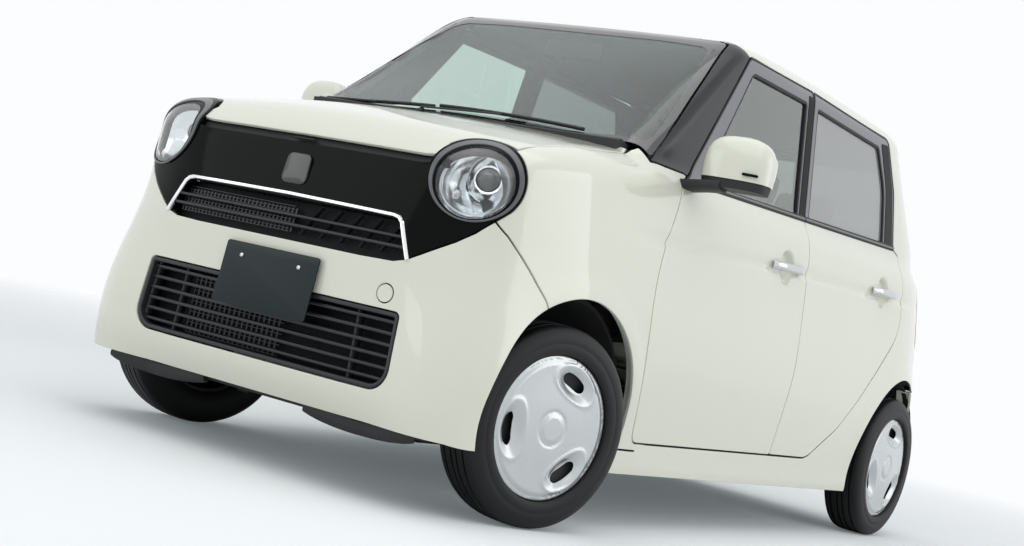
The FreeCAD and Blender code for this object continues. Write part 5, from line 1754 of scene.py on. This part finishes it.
        # painted shade: a near-black sheet 44 mm behind the skin darkens the upper grille's opening
        shade_sheet = Panel(NOSE, [grown], gap=0, roll=2, depth=6, lift=-44, lined=False, pitch=30)
        plastic(shade_sheet.form(), "upper_grille_shade_sheet", GRILLE_SHADE, ("grilles",))
        bars = self.bars(self.bar_heights, 425, 14,
                         [(-13, -6), (-11, -7), (11, -5), (13, -3), (13, 2), (-12, 4)])
        plastic(bars, "upper_grille_bars", GRILLE_BLACK)
        fine = self.mesh_lattice((-412, 30), (642, 720), 26, (15, 9))
        plastic(fine, "upper_grille_mesh", GRILLE_BLACK)
        sides = bmesh.new()
        for x in self.vanes:
            sweep(sides, raised(front_seam((x, 640), (x + 46, 724)), -0.030), SIDEWAYS, oval(18, 4))
        plastic(sides, "upper_grille_vanes", GRILLE_BLACK)
        half = ((442, 630), (398, 722), (386, 733), (370, 737))
        path = raised(front_seam(*((-x, z) for x, z in half), (0, 741), *half[::-1]), 0.002)
        arch = made(sweep, path, SKIN.normal(path),
                    [(-6, -5), (6, -5), (6, 1), (4, 4), (0, 5), (-4, 4), (-6, 1)])
        piece(arch, "grille_chrome", "body", (CHROME,))
        point = front_seam((0, 812), (1, 812))[0]
        badge = made(slab, Outline(((-46, -43, 20), (46, -43, 20), (42, 43, 20), (-42, 43, 20))), 10,
                     aimed(point + np.array((0, -0.007, 0)), (0.0, -1.0, 0.10)), 3)
        piece(badge, "badge_base", "body", (BADGE,))

    def build_lower_grille(self) -> None:
        """Lip, slats and a near-black sheet that paints the shade behind the lower grille."""
        outer, hole = (ring(View.FRONT, LOWER_GRILLE.inset(depth)) for depth in (1, 13))
        lip = Panel(NOSE, [outer], [hole], gap=0, roll=4, depth=60, lift=-1, lined=False, pitch=12)
        plastic(lip.form(), "lower_grille_lip", GRILLE_BLACK)
        # painted shade: a near-black sheet 62 mm behind the skin darkens the lower grille's opening
        shade_sheet = Panel(NOSE, [ring(View.FRONT, LOWER_GRILLE)], gap=0, roll=2, depth=6, lift=-62, lined=False,
                        pitch=30)
        plastic(shade_sheet.form(), "lower_grille_shade_sheet", GRILLE_SHADE)
        slats = self.bars(self.slat_heights, 446, 30,
                          [(-16, -4), (14, -5), (16, -2), (16, 3), (-14, 5), (-16, 2)])
        plastic(slats, "lower_grille_slats", GRILLE_BLACK)
        fine = self.mesh_lattice((-300, 60), (304, 480), 46, (19, 15))
        plastic(fine, "lower_grille_mesh", GRILLE_BLACK)
        posts = bmesh.new()
        for x in self.posts:
            sweep(posts, raised(front_seam((x, 296), (x * 0.97, 488)), -0.034), SIDEWAYS, oval(30, 12))
        plastic(posts, "lower_grille_posts", GRILLE_BLACK)
        skirt = bmesh.new()
        for start, end, sink, drop in ((-600, 600, 70, 4), (190, 560, 26, 30), (-560, -190, 26, 30)):
            under = front_seam((start, BUMPER_Z + 14), (end, BUMPER_Z + 14))
            under = under - SKIN.normal(under) * np.array((1.0, 1.0, 0.0)) * sink * MM
            share = np.sin(np.linspace(0.12, math.pi - 0.12, len(under))) ** 0.5
            under[:, 2] -= (drop * MM) * share
            sweep(skirt, under, UPWARD,
                  [(-12, -16), (-9, -19), (3, -19), (8, -13), (10, 0), (10, 16), (-12, 16)])
        plastic(skirt, "lower_skirt", GRAINED)

    def build_plate(self) -> None:
        """Blank number plate and its bracket."""
        place = aimed((0.014, NOSE_Y * MM - 0.014, 0.499), (0.0, -1.0, 0.06))
        plate = made(slab, self.plate, 5, place, 1.2)
        bracket = made(slab, self.bracket, 40, place @ Matrix.Translation((-0.005, 0, 0)), 2)
        bolts = bmesh.new()
        for x in (-self.bolt_reach * MM, self.bolt_reach * MM):
            lathe(bolts, ((-8, 0), (-8, 6), (1.5, 6), (3.2, 4.8), (3.6, 3), (2.2, 2.8), (2.2, 0)),
                  place @ Matrix.Translation((0, x, 0.051)), 24)
        plastic(plate, "number_plate", PLATE_GREY)
        plastic(bracket, "plate_bracket", GRAINED)
        piece(bolts, "plate_bolts", "body", (SATIN,))


# ---------------------------------------------------------------- outside fittings
@dataclass
class Fittings:
    """Mirrors, door handles, belt mouldings and wipers."""

    mirror_at: Row = (815.0, -716.0, 1102.0)
    mirror_size: Row = (212.0, 122.0, 214.0)
    parting_z: float = 1075.0
    plate_back: float = 48.0

    def build(self) -> None:
        """Make every fitting on both sides."""
        self.build_mirrors()
        self.build_handles()
        self.build_mouldings()
        self.build_wipers()

    def both(self, bm: BMesh, label: str, kind: str, slot: str, finish: AnyFinish,
             nodes: bool = False) -> None:
        """Make a piece for the left door and its twin for the right one.

        Args:
            bm: the left piece's mesh.
            label: the piece's name without its side.
            kind: the doors' name without their side.
            slot: not used.
            finish: its finish.
            nodes: it stands for the mirror's CAD node.
        """
        for side, mesh in (("right", mirrored_copy(bm)), ("left", bm)):
            piece(mesh, f"{label}_{side}", f"{kind}_{side}", (finish,),
                  (f"door_mirror_{side}",) if nodes else ())

    def shell(self, size: Row, above: float, below: float) -> BMesh:
        """The mirror housing between two levels, closed flat at both.

        Args:
            size: full size of the rounded housing.
            above: lower level, in millimetres.
            below: upper level, in millimetres.
        """
        bm = bmesh.new()
        pillow(bm, self.mirror_at, size, 2.9, cuts=17)
        for level, way in ((above, -1), (below, 1)):
            cut = bmesh.ops.bisect_plane(bm, geom=bm.verts[:] + bm.edges[:] + bm.faces[:],
                                         plane_co=(0, 0, level * MM), plane_no=(0, 0, way), clear_outer=True)
            rim = [g for g in cut["geom_cut"] if isinstance(g, bmesh.types.BMEdge)]
            if rim:
                bmesh.ops.edgeloop_fill(bm, edges=rim)
        cut = bmesh.ops.bisect_plane(bm, geom=bm.verts[:] + bm.edges[:] + bm.faces[:],
                                     plane_co=(0, (self.mirror_at[1] + self.plate_back) * MM, 0),
                                     plane_no=(0, 1, 0), clear_outer=True)
        bmesh.ops.edgeloop_fill(bm, edges=[g for g in cut["geom_cut"] if isinstance(g, bmesh.types.BMEdge)])
        for v in bm.verts:
            lean = (v.co.x - 0.73) / 0.2
            v.co.y += 0.020 * max(lean, 0.0)
        return bm

    def build_mirrors(self) -> None:
        """Housing, lower shell, foot, lamp slit and mirror plate."""
        w, d, h = self.mirror_size
        upper = self.shell(self.mirror_size, self.parting_z, 1300)
        self.both(upper, "mirror_cap", "front_door", "body_paint", IVORY, True)
        lower = self.shell((w - 7, d - 6, h), 1049, self.parting_z - 1.5)
        self.both(lower, "mirror_shell", "front_door", "black_plastic", GRAINED)
        path = np.array(((0.640, -0.742, 1.040), (0.690, -0.740, 1.043), (0.735, -0.735, 1.050),
                         (0.785, -0.725, 1.056)))
        foot = made(sweep, path, UPWARD,
                    [(-44, -12), (-30, -18), (30, -18), (44, -12), (46, 0), (42, 10), (-42, 10), (-46, 0)])
        self.both(foot, "mirror_foot", "front_door", "black_plastic", GRAINED)
        slit = made(slab, box(24, 4, 3.5), 8, aimed((0.882, -0.7645, 1.094), (0.32, -1.0, -0.05)), 1)
        self.both(slit, "mirror_slit", "front_door", "black_plastic", GLOSS_BLACK)
        at = (0.824, (self.mirror_at[1] + self.plate_back) * MM + 0.0125, 1.126)
        plate = made(slab, Outline(((-84, -48, 26), (84, -48, 26), (84, 58, 44), (-84, 58, 44))), 3,
                     aimed(at, (-0.10, 1.0, 0.0)), 0.8)
        self.both(plate, "mirror_plate", "front_door", "steel", CHROME)

    def build_handles(self) -> None:
        """Bar handles over their hollows, each on two end mounts."""
        for middle, kind in zip(HANDLE_YS, ("front_door", "rear_door")):
            y = np.linspace(-118, 118, 25)
            base = on_skin(View.LEFT, np.stack((middle + y, handle_z(middle) + y * HANDLE_RISE), 1) * MM)
            flank = np.interp(y, (-118, 118), (base[0, 0], base[-1, 0]))
            proud = 32.0 * np.clip(1.0 - (np.abs(y) / 124.0) ** 5, 0.12, 1.0)
            path = np.column_stack((flank + proud * MM, base[:, 1], base[:, 2]))
            bar = made(sweep, path, SIDEWAYS, [(a * 14, b * 7 - 1) for a, b in OVAL])
            self.both(bar, kind + "_handle", kind, "cast_metal", HANDLE_CHROME)
            ends = bmesh.new()
            for place in (-104, 100):
                spot = np.array((np.interp(place, y, flank), (middle + place) * MM,
                                 (handle_z(middle) + place * HANDLE_RISE) * MM))
                pillow(ends, tuple((spot + np.array((0.006, 0, 0))) / MM), (34, 30, 25), 3.0, cuts=8)
            self.both(ends, kind + "_handle_mounts", kind, "black_plastic", SATIN)

    def build_mouldings(self) -> None:
        """Sealing strips along the window sills: a light line between two dark ones."""
        spans = (("front_door", -690.0, DOOR_SPLIT_Y - 4), ("rear_door", DOOR_SPLIT_Y + 4, DOOR_REAR_Y - 66))
        for kind, start, end in spans:
            path = left_seam((start, belt_z(start) + 9), (end, belt_z(end) + 9))
            normal = SKIN.normal(path)
            for label, finish, section in (
                    ("belt_strip", SEAL, [(-10, -1), (10, -1), (10, 2.5), (7, 4.5), (-7, 4.5), (-10, 2.5)]),
                    ("belt_bead", GREY_SEAL, [(-3.4, 2), (3.4, 2), (3.4, 6), (0, 7.4), (-3.4, 6)])):
                strip = made(sweep, path, normal, section)
                self.both(strip, f"{kind}_{label}", kind, "black_plastic", finish)

    def build_wipers(self) -> None:
        """Two wipers parked along the windscreen's base."""
        for label, pivot, tip in (("long", (-150, -1012), (430, -972)),
                                  ("short", (-560, -982), (-120, -984))):
            arm = bmesh.new()
            path = top_seam(pivot, ((pivot[0] + tip[0]) / 2, tip[1] - 14))
            sweep(arm, raised(path, 0.014), SKIN.normal(path), oval(9, 6))
            middle = ((pivot[0] + tip[0]) / 2 - 0.42 * (tip[0] - pivot[0]), tip[1] - 6)
            path = top_seam(middle, tip)
            lean = SKIN.normal(path)
            sweep(arm, path + lean * 0.009, lean, [(-2, -6), (2, -6), (5, 0), (3.5, 4), (-3.5, 4), (-5, 0)])
            lathe(arm, ((-14, 0), (-14, 11), (6, 11), (10, 8), (10, 0)),
                  aimed(top_seam(pivot, (pivot[0] + 1, pivot[1]))[0], lean[0]), 24)
            plastic(arm, f"wiper_{label}", GRAINED)


# ---------------------------------------------------------------- cabin
@dataclass(frozen=True)
class Pad:
    """A stitched foam pad of a seat.

    Attributes:
        centre: its middle, in millimetres.
        size: its full size, in millimetres.
        tilt: lean about X in degrees.
        channels: places across it, as shares of its half width, of its sewn channels.
    """

    centre: Row
    size: Row
    tilt: float = 0.0
    channels: tuple[float, ...] = (-0.56, 0.56)

    def build(self, name: str, body: str, replaces: Sequence[str] = ()) -> None:
        """Make the pad: crowned, drawn in between its corners and pulled in at its seams.

        Args:
            name: the piece's name.
            body: the body it rides on.
            replaces: CAD nodes it stands for.
        """
        bm = bmesh.new()
        pillow(bm, (0, 0, 0), (2000, 2000, 2000), 5.0, cuts=25)
        for v in bm.verts:
            x, y, z = v.co
            pull = 0.045 * (1 - x * x) * (1 - z * z)
            v.co.y *= 1.0 - pull * (1.0 if abs(y) > 0.5 else 0.3)
            v.co.x *= 1.0 - 0.05 * (1 - y * y) * max(1 - z * z, 0.0)
            seams = sum(math.exp(-((x - c) / 0.035) ** 2) for c in self.channels)
            side = math.exp(-(z / 0.05) ** 2) if max(abs(x), abs(y)) > 0.9 else 0.0
            v.co *= 1.0 - 0.020 * side
            v.co.z *= 1.0 - 0.11 * min(seams, 1.0) + 0.10 * (1 - x * x) * (1 - y * y)
            v.co = Vector([c * s * MM / 2 for c, s in zip(v.co, self.size)])
        bmesh.ops.transform(bm, matrix=leaning(self.centre, self.tilt), verts=bm.verts)
        made = piece(bm, name, body, (SEAT_CLOTH,), replaces, 60)


@dataclass
class Cabin:
    """Seats, headrests and small trim seen through the glass; its sizes are millimetres."""

    seat_x: float = 285
    post_reach: float = 45
    rail_reach: float = 170

    def build(self) -> None:
        """Make the cabin's pieces."""
        for number, x in enumerate((-self.seat_x, self.seat_x)):
            name = ("right", "left")[number]
            nodes = ("front_seats",) if number == 0 else ()
            Pad((x, 20, 470), (470, 470, 130), 4).build(f"front_cushion_{name}", "body", nodes)
            Pad((x, 305, 800), (450, 560, 110), 76).build(f"front_back_{name}", "body")
            Pad((x, 405, 1190), (250, 165, 90), 80, ()).build(f"front_headrest_{name}", "body")
            Pad((x, 960, 1205), (240, 130, 85), 82, ()).build(f"rear_headrest_{name}", "body")
            posts = bmesh.new()
            for offset in (-self.post_reach, self.post_reach):
                for y, z in ((388, 1080), (948, 1120)):
                    path = np.array([(x + offset, y + b, z + c) for b, c in ((-12, -60), (0, 0), (14, 62))])
                    sweep(posts, path * MM, REARWARD, oval(11, 11))
            piece(posts, f"headrest_posts_{name}", "body", (SATIN,))
            plinth = bmesh.new()
            for offset in (-self.rail_reach, self.rail_reach):
                path = np.array(((x + offset, -170, 330), (x + offset, 0, 322), (x + offset, 210, 330)))
                sweep(plinth, path * MM, UPWARD, oval(34, 70))
            piece(plinth, f"seat_rails_{name}", "body", (GRAINED,))
        bench = (-0.33, 0.33, -0.66, 0.66)
        Pad((0, 800, 515), (1080, 450, 140), 5, bench).build("rear_cushion", "body", ("rear_seat",))
        Pad((0, 985, 860), (1080, 560, 110), 77, bench).build("rear_back", "body")
        glass = made(slab, Outline(((-118, -30, 24), (118, -30, 24), (118, 32, 24), (-118, 32, 24))), 22,
                     aimed((0.0, -0.455, 1.455), (0.0, 1.0, -0.16)), 8)
        plastic(glass, "inside_mirror", GRAINED)


CARRIED = {
    "underbody": UNDERSEAL, "cowl": GRAINED, "wheel_liners": LINER, "dashboard": DASH, "engine": ENGINE_ALLOY,
    "fuel_tank": TANK_PLASTIC, "exhaust": EXHAUST_STEEL, "rear_axle": AXLE_PAINT, "lower_arms": AXLE_PAINT,
    "knuckle_left": STEEL, "knuckle_right": STEEL, "steering_wheel": RIM_LEATHER,
}


def finish_carried() -> None:
    """Give every CAD node that stays in view its finish."""
    for node, finish in CARRIED.items():
        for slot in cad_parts[node].material_slots:
            slot.material = finish.material()


# ---------------------------------------------------------------- the scene
@dataclass
class Studio:
    """White floor, soft lamps and the world."""

    lamps: tuple = (  # place, aim, size in metres and power
        ((1.0, -2.2, 4.6), (0.6, -1.0, 0.8), (5.0, 7.0), 98.0),
        ((6.2, 2.8, 3.0), (0.4, 0.9, 0.9), (6.0, 4.0), 90.0),
        ((-3.8, -6.5, 2.6), (-0.4, -1.6, 0.6), (4.0, 3.0), 42.0),
    )
    ambient: float = 0.55
    floor_radius: float = 11.0
    fade_start: float = 2.6
    fade_rate: float = 0.22  # share of the floor lost per metre beyond the start

    def build(self) -> None:
        """Set up the whole studio."""
        self.build_floor()
        self.build_world()
        for number, (place, aim, size, energy) in enumerate(self.lamps):
            light = bpy.data.lights.new(f"softbox_{number}", "AREA")
            light.shape = "RECTANGLE"
            light.size, light.size_y = size
            light.energy = energy
            lamp = bpy.data.objects.new(f"softbox_{number}", light)
            bpy.context.scene.collection.objects.link(lamp)
            lamp.location = place
            lamp.rotation_euler = (Vector(aim) - Vector(place)).to_track_quat("-Z", "Y").to_euler()
        build_camera()

    def build_floor(self) -> None:
        """A round floor that fades out into the white world."""
        mesh = bpy.data.meshes.new("studio_floor")
        bm = bmesh.new()
        bmesh.ops.create_circle(bm, cap_ends=True, segments=96, radius=self.floor_radius)
        bm.to_mesh(mesh)
        bm.free()
        floor = bpy.data.objects.new("studio_floor", mesh)
        bpy.context.scene.collection.objects.link(floor)
        s = Shader("studio_white")
        away = s.add("ShaderNodeVectorMath", {"operation": "LENGTH"}, {0: s.coordinates}, "Value")
        s.set("Base Color", (0.90, 0.92, 0.93, 1.0))
        s.set("Roughness", 0.9)
        s.set("Specular IOR Level", 0.1)
        seen = s.add("ShaderNodeLightPath", {}, {}, "Is Camera Ray")
        s.set("Emission Color", s.mix(seen, (0.0, 0.0, 0.0), (0.10, 0.115, 0.12)))
        s.set("Emission Strength", 1.0)
        s.set("Alpha", (1.0 - (away - self.fade_start) * self.fade_rate).clamped())
        mesh.materials.append(s.material)

    def build_world(self) -> None:
        """A world that is white where it is seen and softer where it lights."""
        world = bpy.data.worlds.new("studio")
        bpy.context.scene.world = world
        world.use_nodes = True
        tree = world.node_tree
        path = tree.nodes.new("ShaderNodeLightPath")
        seen = path.outputs["Is Camera Ray"]
        for other in ("Is Glossy Ray", "Is Transmission Ray"):
            both = tree.nodes.new("ShaderNodeMath")
            both.operation = "MAXIMUM"
            tree.links.new(seen, both.inputs[0])
            tree.links.new(path.outputs[other], both.inputs[1])
            seen = both.outputs[0]
        strength = tree.nodes.new("ShaderNodeMapRange")
        strength.inputs["To Min"].default_value = self.ambient
        strength.inputs["To Max"].default_value = 1.0
        tree.links.new(seen, strength.inputs["Value"])
        back = tree.nodes["Background"]
        back.inputs["Color"].default_value = (0.965, 0.98, 1.0, 1.0)
        tree.links.new(strength.outputs[0], back.inputs["Strength"])


CAMERA_AT = (2.9295, -4.8732, 0.5586)
CAMERA_ANGLES = (34.08, -1.386, 12.68)  # azimuth, elevation and roll in degrees
CAMERA_LENS = 55.68


def build_camera() -> None:
    """The camera low in front of the car, leaning over."""
    azimuth, elevation, roll = (math.radians(v) for v in CAMERA_ANGLES)
    back = Vector((math.sin(azimuth) * math.cos(elevation), -math.cos(azimuth) * math.cos(elevation),
                   math.sin(elevation)))
    right = Vector((math.cos(azimuth), math.sin(azimuth), 0.0))
    up = back.cross(right)
    across = math.cos(roll) * right + math.sin(roll) * up
    over = math.cos(roll) * up - math.sin(roll) * right
    data = bpy.data.cameras.new("studio_camera")
    data.lens = CAMERA_LENS
    data.sensor_width = 36.0
    data.clip_end = 200.0
    camera = bpy.data.objects.new("studio_camera", data)
    bpy.context.scene.collection.objects.link(camera)
    turn = Matrix((across, over, back)).transposed().to_4x4()
    camera.matrix_world = Matrix.Translation(CAMERA_AT) @ turn
    bpy.context.scene.camera = camera


def main() -> None:
    """Build the whole car and its studio."""
    logging.basicConfig(level=logging.INFO, format="%(message)s")
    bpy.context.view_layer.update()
    Body().build()
    FrontEnd().build()
    for wheel in WHEELS:
        wheel.build()
    Fittings().build()
    Cabin().build()
    finish_carried()
    Studio().build()
    bpy.context.scene.view_settings.view_transform = "Standard"


if __name__ == "__main__":
    main()
